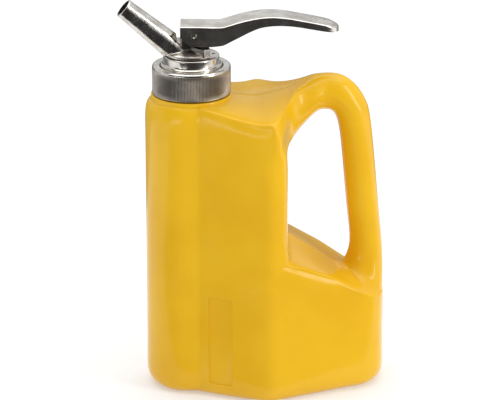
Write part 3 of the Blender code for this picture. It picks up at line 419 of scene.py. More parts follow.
def deck_z(x):
    """Height of the deck's middle line, from the column to the foot of the handle."""
    if x <= NECK_R - 1:
        return COLUMN_TOP
    if x <= SADDLE_X:
        share = (x - NECK_R + 1) / (SADDLE_X - NECK_R + 1)
        return COLUMN_TOP + (DECK_Z - COLUMN_TOP) * math.sin(share * math.pi / 2)
    return DECK_Z + HANDLE_RISE * ((x - SADDLE_X) / HANDLE_RUN) ** 2


def ledge_z(x, share):
    """Height of the ledge under the hand hole, from its ridge (share 0) to its edge (share 1)."""
    edge = LEDGE_EDGE_Z - LEDGE_EDGE_SLOPE * (x - 61)
    ridge = max(LEDGE_RIDGE_Z - LEDGE_RIDGE_SLOPE * (x - 59.4), edge)
    return ridge + (edge - ridge) * share


def base_point(i, j):
    """The underside: a flat floor inside a rounded rim."""
    rim = BASE_FILLET * ROUND
    x, half = plan(i)
    if i == 0:
        return (*front(j, COLUMN_R - rim), rim)
    if i == LAST_I:
        return (*tail(j, rim), rim)
    if j in (0, LAST_J):
        return x, signed(half - rim, j), rim
    if i == 1:
        x -= 2.0 * (MIDDLE_J - abs(j - MIDDLE_J))
    return x, across(j, half, BASE_FILLET), -0.6


def top_point(i, j):
    """The shoulder round the neck and the crowned deck."""
    x, half = plan(i)
    rim = SHOULDER_R * ROUND
    shoulder_z = COLUMN_TOP - SHOULDER_FALL
    rim_z = shoulder_z - SHOULDER_DROP * ROUND
    if i == 0:
        return (*front(j, COLUMN_R - rim), rim_z)
    side = j in (0, LAST_J)
    if i <= 2:
        if side:
            x, half = column(COLUMN_DEGREES[i], COLUMN_R - rim)
            return x, signed(half, j), rim_z
        if i == 1:
            x -= 2.5 * (MIDDLE_J - abs(j - MIDDLE_J))
        inside = i == 2 and 1 < j < LAST_J - 1
        return x, across(j, half, SHOULDER_R), COLUMN_TOP if inside else shoulder_z
    middle = deck_z(x) - (0.2 if i == 3 else 0.0)
    share = min(1.0, max(0.0, (x - VALLEY_X) / 15))
    crown = SHOULDER_FALL + (DECK_CROWN - SHOULDER_FALL) * share
    drop = deck_fillet(x) * ROUND
    if side:
        return x, signed(half - drop, j), middle - crown - drop
    y = across(j, half, deck_fillet(x))
    return x, y, middle - crown * (y / half) ** 2


def ledge_point(i, j):
    """The ledge between the rear wall and the grip's foot."""
    x, half = plan(i)
    edge = LEDGE_FILLET * ROUND
    y = from_middle(j, [half - edge, half - LEDGE_FILLET, 9.0, 0])
    if j in (0, LAST_J):
        return x, signed(y, j), ledge_z(x, 1.0) - edge
    return x, signed(y, j), ledge_z(x, y / half)


def side_point(i, j, k):
    """The upright walls: column, flank, corner, taper and tail."""
    x, half = plan(i)
    z = WALL_Z[min(k, 11)]
    if k == LAST_K - 1:
        edge = deck_z(x) - DECK_CROWN - deck_fillet(x)
        if i <= 2:
            edge = COLUMN_TOP - SHOULDER_FALL - SHOULDER_DROP
        z = edge - 2.5
    if k in LEDGE_DROPS and i >= 7:
        z = ledge_z(x, 1.0) - LEDGE_DROPS[k]
    if i == 0:
        return (*front(j, COLUMN_R), z)
    if i == LAST_I:
        return (*tail(j), z)
    return x, signed(half, j), z


# %% [markdown]
# ## The grip
# The grip is a bent tube that leaves the deck, arches over the hand hole and stands on the tail.
# It is given as slices, each with one point on the hole side and one on the outer side.

# %% Slices of the grip and the places where it joins the can
GRIP_HALF_WIDTH, GRIP_HALF_DEPTH = 10.0, 9.7
lean = math.tan(math.radians(5.6)) * 0.95


def grip_slice(z):
    """A slice of the leaning grip at a height."""
    middle = 100.0 + (148.0 - z) * lean
    return (middle - GRIP_HALF_DEPTH, z + 1), (middle + GRIP_HALF_DEPTH, z - 1)


INNER_BEND = (87.0, 167.0)
HANDLE_CROWN_Z = 193.3
SLICES = {
    "root": ((73.0, 169.0), (71.5, HANDLE_CROWN_Z - 1.2)),
    "arch": ((80.0, 171.3), (78.5, HANDLE_CROWN_Z)),
    "crown": (INNER_BEND, (86.3, HANDLE_CROWN_Z - 0.2)),
    "bend_1": (INNER_BEND, (94.0, 190.0)),
    "bend_2": (INNER_BEND, (100.3, 183.6)),
    "bend_3": (INNER_BEND, (104.7, 176.0)),
    "bend_4": (INNER_BEND, (107.3, 167.0)),
    "upper": grip_slice(147.0),
    "middle": grip_slice(126.0),
    "lower": grip_slice(105.0),
    "foot": ((96.0, 88.0), (115.6, 85.0)),
}
TUBE_SPOTS = {
    (11, 11): ("bend_2", 1), (11, 12): ("crown", 0), (11, 13): ("crown", -1),
    (12, 11): ("bend_4", 0), (12, 12): ("bend_2", 0), (12, 13): ("bend_1", -1),
    (13, 11): ("bend_4", -1), (13, 12): ("bend_3", -1), (13, 13): ("bend_2", -1),
}
for station, name in ((9, "root"), (10, "arch")):
    for level, side in ((11, 1), (12, 0), (13, -1)):
        TUBE_SPOTS[station, level] = (name, side)
for level, name in ((10, "upper"), (9, "middle"), (8, "lower"), (7, "foot")):
    for station, side in ((11, 1), (12, 0), (13, -1)):
        TUBE_SPOTS[station, level] = (name, side)

# Rows of four points from side to middle, by station and level
ROWS = {
    (7, 13): [(48.0, 42.2, 175.6), (52.0, 31.5, 179.6), (55.0, 15.0, 183.4), (56.5, 0, 185.0)],
    (7, 12): [(50.2, 43.6, 168.5)] * 4,
    (7, 11): [(50.4, 43.8, 160.0), (REAR_X, 34.0, 157.0), (55.2, 13.0, 151.5), (56.0, 0, 150.2)],
    (8, 13): [(59.0, 18.6, 180.5), (60.5, 13.5, 185.6), (61.8, 6.5, 187.2), (62.5, 0, 187.7)],
    (8, 12): [(58.2, 20.2, 172.0)] * 4,
    (8, 11): [(58.4, 18.5, 164.0), (60.6, 13.5, 160.4), (62.2, 6.5, 158.9), (62.8, 0, 158.5)],
    (7, 5): [(51.2, 44.4, 87.6), (REAR_X + 0.6, 37.5, 90.8), (55.2, 8.0, 94.8), (55.4, 0, 95.6)],
    (11, 5): [(98.4, 27.6, 65.0), (95.0, 19.0, 68.0), (92.0, 7.5, 72.0), (90.8, 0, 73.2)],
    (12, 5): [(102.8, 25.9, 62.0)] * 4,
    (13, 5): [(109.0, 21.4, 59.4), (112.9, 15.0, 58.6), (115.3, 7.6, 58.2), (TAIL_X - 0.1, 0, 58.4)],
    (11, 6): [(100.8, 12.6, 69.8), (97.4, 9.4, 73.2), (95.0, 5.0, 76.6), (94.2, 0, 78.4)],
    (12, 6): [(105.4, 14.0, 67.6)] * 4,
    (13, 6): [(110.0, 12.8, 67.0), (113.5, 9.2, 68.2), (115.6, 4.8, 69.6), (TAIL_X, 0, 70.4)],
}


def tube_point(name, row, j):
    """A point on a slice: row 1 faces the hole, row -1 outward, row 0 is its side."""
    (near_x, near_z), (far_x, far_z) = SLICES[name]
    half = 13.0 if name == "root" else GRIP_HALF_WIDTH
    middle = Vector(((near_x + far_x) / 2, 0, (near_z + far_z) / 2))
    if row == 0:
        return middle + Vector((0, signed(half, j), -3.0 if name == "foot" else 0.0))
    angle = math.radians(22.5) * (j - MIDDLE_J)
    reach = (Vector((near_x, 0, near_z)) - middle) * row * math.cos(angle)
    return middle + reach + Vector((0, half * math.sin(angle), 0))


def skin_point(corner):
    """Where the can's skin passes for one corner of the grid."""
    i, j, k = (round(value) for value in corner)
    if k == 0:
        return base_point(i, j)
    if (i, k) in TUBE_SPOTS:
        return tube_point(*TUBE_SPOTS[i, k], j)
    if (i, k) in ROWS:
        x, y, z = from_middle(j, ROWS[i, k])
        return x, signed(y, j), z
    if k == 5 and i >= 7:
        return ledge_point(i, j)
    if k == LAST_K:
        return top_point(i, j)
    if i == 7 and k >= 6:
        wall = [(50.4, 43.8), (REAR_X, 35.0), (REAR_X, 10.0), (REAR_X, 0)]
        x, y = from_middle(j, wall)
        return x, signed(y, j), WALL_Z[k] + (3.0 if k == 6 else 0.0)
    return side_point(i, j, k)


# %% [markdown]
# ## The can's skin
# A blow-moulded can has no flat face and no hard edge, which makes a subdivision surface the
# natural tool. We slice a block into a grid, open the hand hole by deleting the faces on both
# sides and bridging the two rims, and then move each corner to its place. Subdivision pulls a
# surface inside its corners, so the corners are pushed out until the surface meets the plan.

# %% Slice a block and open the hand hole
def sliced_block():
    """A block whose corners sit on whole numbers: i along, j across and k up."""
    shape = bmesh.new()
    bmesh.ops.create_cube(shape, size=1.0)
    counts = (LAST_I, LAST_J, LAST_K)
    shape.transform(Matrix.Diagonal((*counts, 1)) @ Matrix.Translation((0.5, 0.5, 0.5)))
    for axis, last in enumerate(counts):
        normal = Vector((axis == 0, axis == 1, axis == 2))
        for n in range(1, last):
            everything = shape.verts[:] + shape.edges[:] + shape.faces[:]
            bmesh.ops.bisect_plane(shape, geom=everything, plane_co=normal * n, plane_no=normal)
    sides = [(face, face.calc_center_median()) for face in shape.faces if abs(face.normal.y) > 0.5]
    hole = [face for face, middle in sides if 7 < middle.x < 11 and 5 < middle.z < 11]
    bmesh.ops.delete(shape, geom=hole, context="FACES")
    rims = [edge for edge in shape.edges if edge.is_boundary]
    bridge = bmesh.ops.bridge_loops(shape, edges=rims)
    ties = [edge for edge in bridge["edges"] if abs(edge.verts[0].co.y - edge.verts[1].co.y) > 1]
    bmesh.ops.subdivide_edges(shape, edges=ties, cuts=LAST_J - 1, use_grid_fill=True)
    return shape


def fit(shape, rounds=3):
    """Moves each corner to its place, then out until the smooth surface passes through it."""
    wanted = {vert: Vector(skin_point(vert.co)) for vert in shape.verts}
    for vert, place in wanted.items():
        vert.co = place
    for _ in range(rounds):
        moves = {}
        for vert, place in wanted.items():
            count = len(vert.link_faces)
            total = vert.co * count * count
            for edge in vert.link_edges:
                total += 4 * edge.other_vert(vert).co
            for face in vert.link_faces:
                opposite = (list(face.verts).index(vert) + 2) % 4
                total += face.verts[opposite].co
            moves[vert] = place - total / (count * (count + 5))
        for vert, move in moves.items():
            vert.co += move


cage = sliced_block()
fit(cage)
print("cage:", len(cage.verts), "corners,", len(cage.faces), "faces")

# %% [markdown]
# ## Seam and wall
# The two halves of the mould meet in the middle plane and leave a fine raised line right round
# the can. It is real relief, so it is a bevelled edge loop whose middle is lifted a little. The
# can is hollow, so a smaller copy of the grid is cut out of the skin.

# %% Smooth the skin, raise the seam and hollow it out
SEAM_HALF_WIDTH = 0.35
SEAM_HEIGHT = 0.14
# The hollow stays coarse, since it shows only down the neck, and keeps clear of the skin
WALL = 2.86

can = to_object("can_body_skin", cage)
modify(can, "SUBSURF", levels=3, render_levels=3)

skin = bmesh.new()
skin.from_mesh(can.data)
skin.transform(Matrix.Scale(1 / MM, 4) @ Matrix.Translation((-neck_x * MM, 0, 0)))
widest = max(vert.co.y for vert in skin.verts)
for vert in skin.verts:
    vert.co.z = max(vert.co.z, 0.0)
    vert.co.y *= body_high.y / widest
middle = [edge for edge in skin.edges if all(abs(vert.co.y) < 1e-3 for vert in edge.verts)]
soften(skin, middle, SEAM_HALF_WIDTH, 2)
skin.normal_update()
for vert in skin.verts:
    if abs(vert.co.y) < 1e-3 and 1.0 < vert.co.z and vert.co.x < TAIL_X - 0.05:
        vert.co += vert.normal * SEAM_HEIGHT
    vert.co.x = min(vert.co.x, TAIL_X)
skin.transform(Matrix.Translation((neck_x * MM, 0, 0)) @ Matrix.Scale(MM, 4))
skin.to_mesh(can.data)
skin.free()

hollow = sliced_block()
for vert in hollow.verts:
    vert.co = skin_point(vert.co)
bmesh.ops.recalc_face_normals(hollow, faces=hollow.faces)
hollow.normal_update()
for vert in hollow.verts:
    vert.co -= vert.normal * WALL
cut(can, hollow)
print("skin:", len(can.data.polygons), "faces")

# %% [markdown]
# ## The threaded neck
# The neck is round, so its profile is spun about the axis, with a small fillet where it grows out
# of the shoulder. The thread is the same spin with a rise at each step: a small trapezoid that
# travels one and a half turns up the neck.

# %% Spin the neck, its thread and its bore
def lathe(profile, steps=96, closed=True):
    """Turns a profile of radius and height round the neck's axis."""
    shape = bmesh.new()
    points = [shape.verts.new((radius, 0, height)) for radius, height in profile]
    pairs = list(zip(points, points[1:]))
    if closed:
        pairs.append((points[-1], points[0]))
    edges = [shape.edges.new(pair) for pair in pairs]
    turn = {"cent": (0, 0, 0), "axis": (0, 0, 1), "angle": 2 * math.pi}
    bmesh.ops.spin(shape, geom=points + edges, steps=steps, use_merge=True, **turn)
    bmesh.ops.remove_doubles(shape, verts=shape.verts, dist=0.001)
    bmesh.ops.recalc_face_normals(shape, faces=shape.faces)
    return shape


def arc(middle, radius, start, end, steps=6):
    """Points on an arc in a profile, by angles in degrees."""
    points = []
    for n in range(steps + 1):
        angle = math.radians(start + (end - start) * n / steps)
        points.append((middle[0] + radius * math.cos(angle), middle[1] + radius * math.sin(angle)))
    return points


def thread(root_r, crest_r, start, turns=1.5, pitch=4.0, steps=64):
    """A screw thread: a trapezoid that rises as it is spun."""
    shape = bmesh.new()
    section = [(root_r, -0.95), (crest_r, -0.45), (crest_r, 0.45), (root_r, 0.95)]
    points = [shape.verts.new((radius, 0, start + rise)) for radius, rise in section]
    face = shape.faces.new(points)
    turn = {"cent": (0, 0, 0), "axis": (0, 0, 1), "angle": 2 * math.pi * turns}
    count = int(steps * turns)
    rise = (0, 0, pitch / steps)
    bmesh.ops.spin(shape, geom=[face], steps=count, dvec=rise, **turn)
    print("thread:", len(shape.faces), "faces")
    return shape


NECK_BORE_R = 16.9
NECK_TOP = body_high.z
collar_profile = [(NECK_R - 0.8, -3.0), (22.0, -3.4), (24.1, -4.6), (24.3, -4.0)]
collar_profile += arc((23.6, -0.5), 0.7, 0, 90) + [(NECK_R - 0.8, 0.2)]
cut(can, lathe([(radius, COLUMN_TOP + rise) for radius, rise in collar_profile]), "UNION")
neck_profile = [(0, COLUMN_TOP - 1.1), (NECK_R + 1.6, COLUMN_TOP - 1.1)]
neck_profile += arc((NECK_R + 1.6, COLUMN_TOP + 1.5), 1.6, 270, 180)
neck_profile += arc((NECK_R - 0.6, NECK_TOP - 0.6), 0.6, 0, 90) + [(0, NECK_TOP)]
cut(can, lathe(neck_profile, closed=False), "UNION")
cut(can, thread(NECK_R - 0.4, NECK_R + 1.1, 187.6), "UNION")
bore = [(0, 174), (NECK_BORE_R, 174), (NECK_BORE_R, NECK_TOP + 1), (0, NECK_TOP + 1)]
cut(can, lathe(bore, closed=False))

# %% [markdown]
# ## The bare panel
# A shallow rectangle is pressed into the near flank, where such cans carry a label. Here it stays
# bare. A block with bevelled corners and rounded bottom edges is cut out of the wall.

# %% Press the panel into the flank
PANEL_WIDTH, PANEL_BOTTOM, PANEL_TOP, PANEL_DEPTH = 15.8, 9.0, 65.0, 1.0

panel = bmesh.new()
bmesh.ops.create_cube(panel, size=1.0)
panel.transform(Matrix.Diagonal((PANEL_WIDTH, 4 * PANEL_DEPTH, PANEL_TOP - PANEL_BOTTOM, 1)))
upright = [edge for edge in panel.edges if abs((edge.verts[0].co - edge.verts[1].co).y) > 0.1]
soften(panel, upright, 2.0, 5)
floor_edges = [edge for edge in panel.edges if all(vert.co.y > 1.3 for vert in edge.verts)]
soften(panel, floor_edges, 0.5)
panel_x = 6.5 + PANEL_WIDTH * math.cos(flank_angle) / 2
sunk = Vector((panel_x, -flank_y(panel_x), (PANEL_TOP + PANEL_BOTTOM) / 2))
panel.transform(Matrix.Translation((0, -PANEL_DEPTH, 0)))
panel.transform(Matrix.Translation(sunk) @ Matrix.Rotation(-flank_angle, 4, "Z"))
cut(can, panel)
can.name = "safety_can"
piece(can, can_yellow, "can_yellow", "can_body")

# %% [markdown]
# ## The knurled ring
# The ring is turned, then a straight knurl is rolled into its side so that wet fingers can grip
# it. A spin with four steps to each tooth gives a smooth ring. Pulling one upright row in four
# in, and the rows beside it half as far, leaves teeth and grooves in real relief.

# %% Spin the ring and press the knurl
TEETH = 168
KNURL_DEPTH = 0.3
ring_bottom, ring_top = ring_low.z, ring_high.z
knurl_bottom, knurl_top = ring_bottom + 0.6, ring_top - 1.6
ring_profile = [(20.8, ring_bottom)]
ring_profile += arc((ring_r - 0.5, ring_bottom + 0.4), 0.4, 270, 360, 4)
ring_profile += [(ring_r, knurl_bottom)]
knurl_height = knurl_top - knurl_bottom - 1
ring_profile += [(ring_r, knurl_bottom + 0.5 + knurl_height * n / 6) for n in range(7)]
ring_profile += [(ring_r, knurl_top), (ring_r - 0.1, knurl_top + 0.1)]
ring_profile += arc((ring_r - 1.5, ring_top - 1.4), 1.4, 0, 84, 8)
ring_profile += [(19.5, ring_top), (18.95, ring_top - 0.2), (18.75, ring_top - 0.6)]
ring_profile += [(18.75, ring_top - 2.0), (20.8, ring_top - 2.0)]
ring_mesh = lathe(ring_profile, TEETH * 4)
for vert in ring_mesh.verts:
    radius = math.hypot(vert.co.x, vert.co.y)
    if radius > ring_r - 0.15 and knurl_bottom + 0.1 < vert.co.z < knurl_top - 0.1:
        step = round(math.atan2(vert.co.y, vert.co.x) / (2 * math.pi) * TEETH * 4) % 4
        pull = KNURL_DEPTH * (1.0, 0.45, 0.0, 0.45)[step] / radius
        vert.co.x -= vert.co.x * pull
        vert.co.y -= vert.co.y * pull
ring = to_object("knurled_ring", ring_mesh)
cut(ring, thread(21.2, NECK_R + 0.4, 185.6), "UNION")

# %% [markdown]
# The grooves of a knurl keep dirt and lose their shine, while the tooth tips are polished by use.
# The radius tells them apart, so the ring's material measures it from the object coordinates.

# %% A nickel that darkens in the grooves
def knurled_nickel():
    look, spot = start_look("knurled_nickel", Metallic=1.0)
    x, y, z = (spot.part(axis) for axis in range(3))
    off_x = x - neck_x * MM
    radius = (off_x * off_x + y * y) ** 0.5
    side = (z - (knurl_top + 0.2) * MM) / -MM
    knurled = side.ease(0.0, 0.4)
    groove = ((ring_r * MM - radius) / (KNURL_DEPTH * MM)).ease(0.1, 0.9) * knurled
    clouds = spot.speckle(6, 3.0).ease(0.3, 0.7)
    stain = spot.speckle(3.5, 4.0).ease(0.55, 0.75)
    shade = groove * 0.5 + knurled * 0.24
    colour = shade.tint(clouds.tint(NICKEL_WARM, NICKEL_BRIGHT), TARNISH)
    colour = (stain * 0.12).tint(colour, TARNISH)
    roughness = 0.12 + 0.34 * knurled + 0.06 * groove + 0.08 * stain
    return end_look(look, colour, roughness, spot.speckle(0.8, 3.0), 0.015)


piece(ring, knurled_nickel(), "ring_nickel", "cap_ring", angle=50)

# %% [markdown]
# ## The flange
# A polished disc with a drum that narrows above the ring, and one small hole through which air
# comes back in. The profile is spun, and the vent hole is bored through it.

# %% Spin the flange and bore the vent
def tapered(near_r, far_r, start, direction, length, steps=48):
    """A round tapered bar from a point along a direction."""
    shape = bmesh.new()
    round_ends = {"radius1": near_r, "radius2": far_r, "cap_ends": True}
    bmesh.ops.create_cone(shape, segments=steps, depth=length, **round_ends)
    turn = UP.rotation_difference(direction).to_matrix().to_4x4()
    shape.transform(Matrix.Translation(start) @ turn @ Matrix.Translation((0, 0, length / 2)))
    return shape


flange_bottom, flange_top = flange_low.z, flange_high.z
lip_r, waist_r, drum_r, hub_r = 20.4, 18.3, 16.7, 8.7
lip = [(hub_r, 0), (lip_r - 0.2, 0), (lip_r, 0.2), (lip_r, 2.0), (lip_r - 0.2, 2.2), (waist_r, 2.2)]
flange_profile = [(radius, flange_bottom + rise) for radius, rise in lip]
flange_profile += [(waist_r, ring_top - 0.1)]
flange_profile += arc((drum_r + 1.7, ring_top + 2.1), 1.65, 262, 184, 6)
flange_profile += [(drum_r, flange_top - 1.0)]
flange_profile += arc((drum_r - 0.7, flange_top - 0.7), 0.7, 0, 90, 5) + [(hub_r, flange_top)]
flange = to_object("polished_flange", lathe(flange_profile, 128))
VENT_X, VENT_R, VENT_SOCKET_R = 13.2, 1.0, 1.9
cut(flange, tapered(VENT_R, VENT_R, (VENT_X, 0, flange_top - 15), UP, 30, 24))
cut(flange, tapered(VENT_SOCKET_R, VENT_SOCKET_R, (VENT_X, 0, flange_top - 21.5), UP, 20, 32))
piece(flange, nickel_turned, "flange_nickel", "flange_disc")

# %% [markdown]
# ## The cast tap
# Foot, block and spout are one sand casting: its parts run into each other with soft corners, and
# its skin is rough under the plate. Overlapping simple solids are fused by a voxel remesh, which
# also rounds every inside corner, and noise along the normals gives the casting's bumps. The
# bores are cut last, so they stay as true as a drill leaves them.

# %% Fuse the parts of the casting
SPOUT_UP = math.radians(40.6)
along = Vector((-math.cos(SPOUT_UP), 0, math.sin(SPOUT_UP)))
foot_bottom = flange_top + SEAT_GAP
foot_top = foot_bottom + FOOT_HEIGHT
spout_root = Vector((0, 0, foot_top - 7.1))
SPOUT_LENGTH = 52.7
BLOCK_FRONT, BLOCK_REAR, BLOCK_HALF = -7.0, 10.0, 7.6
# The front of the block and of the lever stands a little askew, by this share of the width
ASKEW = 0.1
SHOULDER_TOP = foot_top + 3.6
SHOULDER_PLAN = [(-0.6, 7.0), (4.6, 12.9), (6.0, 14.6), (BLOCK_REAR, 12.4)]
HEEL = (-9.0, foot_top + 6.6)


def brick(low, high):
    """A block between two corners."""
    shape = bmesh.new()
    bmesh.ops.create_cube(shape, size=1.0)
    span = Vector(high) - Vector(low)
    middle = (Vector(high) + Vector(low)) / 2
    shape.transform(Matrix.Translation(middle) @ Matrix.Diagonal((*span, 1)))
    return shape


def shoulder():
    """The wide lower part of the block: an outline in plan, filled and drawn up with some draft."""
    shape = bmesh.new()
    outline = SHOULDER_PLAN + [(x, -y) for x, y in reversed(SHOULDER_PLAN)]
    corners = [shape.verts.new((x, y, foot_bottom + 0.1)) for x, y in outline]
    raised = bmesh.ops.extrude_face_region(shape, geom=[shape.faces.new(corners)])
    for vert in raised["geom"]:
        if isinstance(vert, bmesh.types.BMVert):
            vert.co.z = SHOULDER_TOP
            vert.co.y *= 0.965
    return shape


horn = to_object("horn", tapered(8.4, 5.8, spout_root, along, SPOUT_LENGTH, 64))
cut(horn, brick((HEEL[0], -20, HEEL[1]), (20, 20, block_top + 20)))
cut(horn, brick((-60, -20, 190), (20, 20, foot_bottom + 0.2)))
stub = [(0, stub_low), (6.6, stub_low), (6.6, stub_low + 6.0), (8.4, stub_low + 6.0)]
stub += [(8.4, foot_bottom), (15.2, foot_bottom), (15.7, foot_bottom + 0.5), (15.7, foot_top - 0.9)]
stub += [(14.8, foot_top), (8.0, foot_top + 1.9), (0, foot_top + 1.9)]
casting = to_object("cast_tap", lathe(stub, closed=False))
cut(casting, brick((BLOCK_REAR, -20, stub_low + 8), (20, 20, block_top)))
cut(casting, shoulder(), "UNION")
block = brick((BLOCK_FRONT, -BLOCK_HALF, foot_bottom + 0.8), (BLOCK_REAR, BLOCK_HALF, block_top))
for vert in block.verts:
    if vert.co.x < 0:
        vert.co.x += ASKEW * (vert.co.y + BLOCK_HALF)
        vert.co.y *= 0.86 if vert.co.z < foot_top else 1.0
soften(block, block.edges[:], 0.9)
cut(casting, block, "UNION")
cut(casting, horn, "UNION")
modify(casting, "REMESH", mode="VOXEL", voxel_size=0.38 * MM)
modify(casting, "SMOOTH", factor=0.5, iterations=3)
print("casting:", len(casting.data.polygons), "faces")

# %% [markdown]
# The block has brown, coarse skin between its flecks, and the spout is brighter and finer. The block
# is also darkened as painted shade of the lever above it. One material does both, with a ramp along
# X between them. The bumps fade out on the machined faces: the mouth, the block's top, the underside
# that sits on the flange, and the stub in the neck.

# %% A nickel that is duller on the block than on the spout, and darker there as painted shade
# A dark cast colour that also serves as painted shade on the block under the lever
CAST_DARK_AND_SHADOW = (0.15, 0.13, 0.11)


def cast_nickel():
    look, spot = start_look("cast_nickel", Metallic=1.0)
    # The ramp along X picks out the block: its darkening is partly rough cast skin and partly
    # painted shade of the lever
    block = ((spot.part(0) - neck_x * MM) / MM).ease(-10.0, -4.0)
    grain = spot.speckle(0.5, 3.0)
    flecks = grain.ease(0.46, 0.62)
    clouds = spot.speckle(6, 3.0).ease(0.3, 0.7)
    stains = spot.speckle(1.6, 3.0).ease(0.58, 0.74)
    dull_and_shaded = (block * (0.92 - 0.42 * flecks) + 0.22 * stains).clamped()
    colour = dull_and_shaded.tint(clouds.tint(NICKEL_WARM, NICKEL_BRIGHT), CAST_DARK_AND_SHADOW)
    roughness = 0.14 + 0.08 * clouds + 0.14 * block + 0.15 * stains
    return end_look(look, colour, roughness, grain * (0.6 + 0.8 * block), 0.05)


# %% Give the casting its rough skin and its bores
rough = bmesh.new()
rough.from_mesh(casting.data)
rough.normal_update()
for vert in rough.verts:
    spot = Vector((vert.co.x / MM - neck_x, vert.co.y / MM, vert.co.z / MM))
    free = min(1.0, max(0.0, (spot.z - foot_bottom - 0.5) / 1.0))
    reach = (spot - spout_root).dot(along)
    free *= min(1.0, max(0.0, (SPOUT_LENGTH - 0.8 - reach) / 1.5))
    fine = 0.025
    if spot.x > BLOCK_FRONT - 1:
        free *= min(1.0, max(0.0, (block_top - 0.5 - spot.z) / 1.0))
        fine = 0.05
    bump = noise.noise(spot / 1.9) * 0.05 + noise.noise(spot / 0.8) * fine
    vert.co += vert.normal * (bump - 0.02) * free * MM
rough.to_mesh(casting.data)
rough.free()


def round_bar(radius, bottom, top):
    """A round bar on the neck's axis."""
    return lathe([(0, bottom), (radius, bottom), (radius, top), (0, top)], 48, closed=False)


PIN_X, PIN_R, PIN_DEPTH = 0.9, 1.7, 3.7
pin_z = block_top - PIN_DEPTH
seat_ledge = foot_top - 16.5
cut(casting, round_bar(5.2, seat_ledge, block_top + 1))
cut(casting, round_bar(3.9, stub_low - 1, seat_ledge + 1))
cut(casting, tapered(4.8, 4.8, spout_root, along, SPOUT_LENGTH + 1))
cut(casting, brick((-2.3, -9, pin_z - PIN_R - 0.3), (3.0, 9, block_top + 1)))
piece(casting, cast_nickel(), "cast_nickel", "tap_casting", angle=40)

# %% [markdown]
# ## The lever
# The lever is pressed from one flat strip of sheet: its edges are folded down to make a channel,
# deep over the block and shallow at the thumb end, where the rim wraps round. So it starts as a
# flat grid, each row of which is folded to its place, and a Solidify modifier gives the sheet
# its thickness. Small dots are pressed up under the thumb.

# %% Fold the lever from a flat grid
LEVER_SHEET, BEND_R = 1.5, 0.9
THUMB_X = 68.0
lever_half = lever_high.y
TAIL_MIDDLE = lever_high.x - lever_half
# Height of the lever's top and of its lower edge above the block, by place along the lever
LEVER_TOP = [(lever_low.x, 2.46), (6.0, 1.95), (14.0, 1.5), (18.5, 1.62), (22.0, 2.55)]
LEVER_TOP += [(29.0, 4.5), (35.0, 5.75), (41.0, 6.6), (48.0, 6.8), (54.0, 6.25)]
LEVER_TOP += [(60.0, 5.25), (67.0, 3.7), (75.0, 1.95), (82.0, 0.3), (lever_high.x, -1.4)]
LEVER_EDGE = [(lever_low.x, -4.1), (-4.6, -6.9), (-1.5, -9.4), (3.0, -10.0), (15.0, -10.1)]
LEVER_EDGE += [(18.5, -9.6), (22.2, -7.8), (29.3, -4.3), (34.0, -2.0), (39.0, 0.0), (46.0, 1.2)]
LEVER_EDGE += [(53.0, 1.3), (58.0, 0.9), (64.0, 0.0), (70.0, -1.2), (76.0, -2.4)]
LEVER_EDGE += [(lever_high.x, -4.6)]


def along_curve(points, x):
    """Height of a smooth curve through points, at a place along the lever."""
    xs, zs = zip(*points)
    n = min(max(int(np.searchsorted(xs, x)), 1), len(xs) - 1)
    slopes = np.gradient(zs, xs)
    span = xs[n] - xs[n - 1]
    t = (x - xs[n - 1]) / span
    rise = zs[n - 1] * (2 * t**3 - 3 * t**2 + 1) + zs[n] * (3 * t**2 - 2 * t**3)
    return rise + span * (slopes[n - 1] * (t**3 - 2 * t**2 + t) + slopes[n] * (t**3 - t**2))


def stations():
    """Places along the lever, finer under the thumb, then angles round the tail."""
    coarse = [lever_low.x + (THUMB_X - lever_low.x) * n / 62 for n in range(62)]
    fine = [THUMB_X + (TAIL_MIDDLE - THUMB_X) * n / 30 for n in range(31)]
    straight = [(x, 0.0) for x in coarse + fine]
    return straight + [(TAIL_MIDDLE, math.radians(90 * n / 14)) for n in range(1, 15)]


def rows():
    """Across the sheet: a part of the fold, how far along that part, and which side."""
    down = [("side", n / 6) for n in range(6, 0, -1)]
    bend = [("bend", n / 5) for n in range(6)]
    flat = [("flat", n / 16) for n in range(1, 17)]
    half = [(kind, share, -1) for kind, share in down + bend + flat]
    return half + [(kind, share, 1) for kind, share, _ in reversed(half[:-1])]


DOT_PITCH, DOT_R, DOT_RISE = 2.6, 0.95, 0.42
DOT_ROWS = [(-3.9, 0.0), (-1.3, 1.3), (1.3, 0.0), (3.9, 1.3)]
dots = [(72.6 + DOT_PITCH * n + shift, y) for y, shift in DOT_ROWS for n in range(5)]


def dot_height(x, y):
    """Height of the pressed dots at a place on the top."""
    away = min(math.hypot(x - dot_x, y - dot_y) for dot_x, dot_y in dots)
    return DOT_RISE * max(0.0, 1 - (away / DOT_R) ** 2)


def folded(station, row):
    """Where a corner of the flat strip ends up on the folded lever."""
    x, angle = station
    kind, share, side = row
    turn = share * math.pi / 2
    inset = {"side": 0.0, "bend": BEND_R * (1 - math.cos(turn)), "flat": BEND_R}[kind]
    reach = lever_half - inset
    if kind == "flat":
        reach *= 1 - share
    place_x = x + reach * math.sin(angle)
    y = side * reach * math.cos(angle)
    if kind == "flat" and angle:
        place_x = x + (lever_half - BEND_R) * math.sin(angle)
    rim_x = x + lever_half * math.sin(angle)
    top = along_curve(LEVER_TOP, min(place_x, lever_high.x))
    edge = along_curve(LEVER_EDGE, rim_x)
    shoulder = along_curve(LEVER_TOP, rim_x) - BEND_R
    if kind == "side":
        z = shoulder + (edge - shoulder) * share
    elif kind == "bend":
        z = shoulder + (top - shoulder) * math.sin(turn)
    else:
        z = top + dot_height(place_x, y)
    askew = ASKEW * (y + lever_half) * max(0.0, 1 - (x - lever_low.x) / 4)
    return Vector((place_x + askew, y, block_top + z))


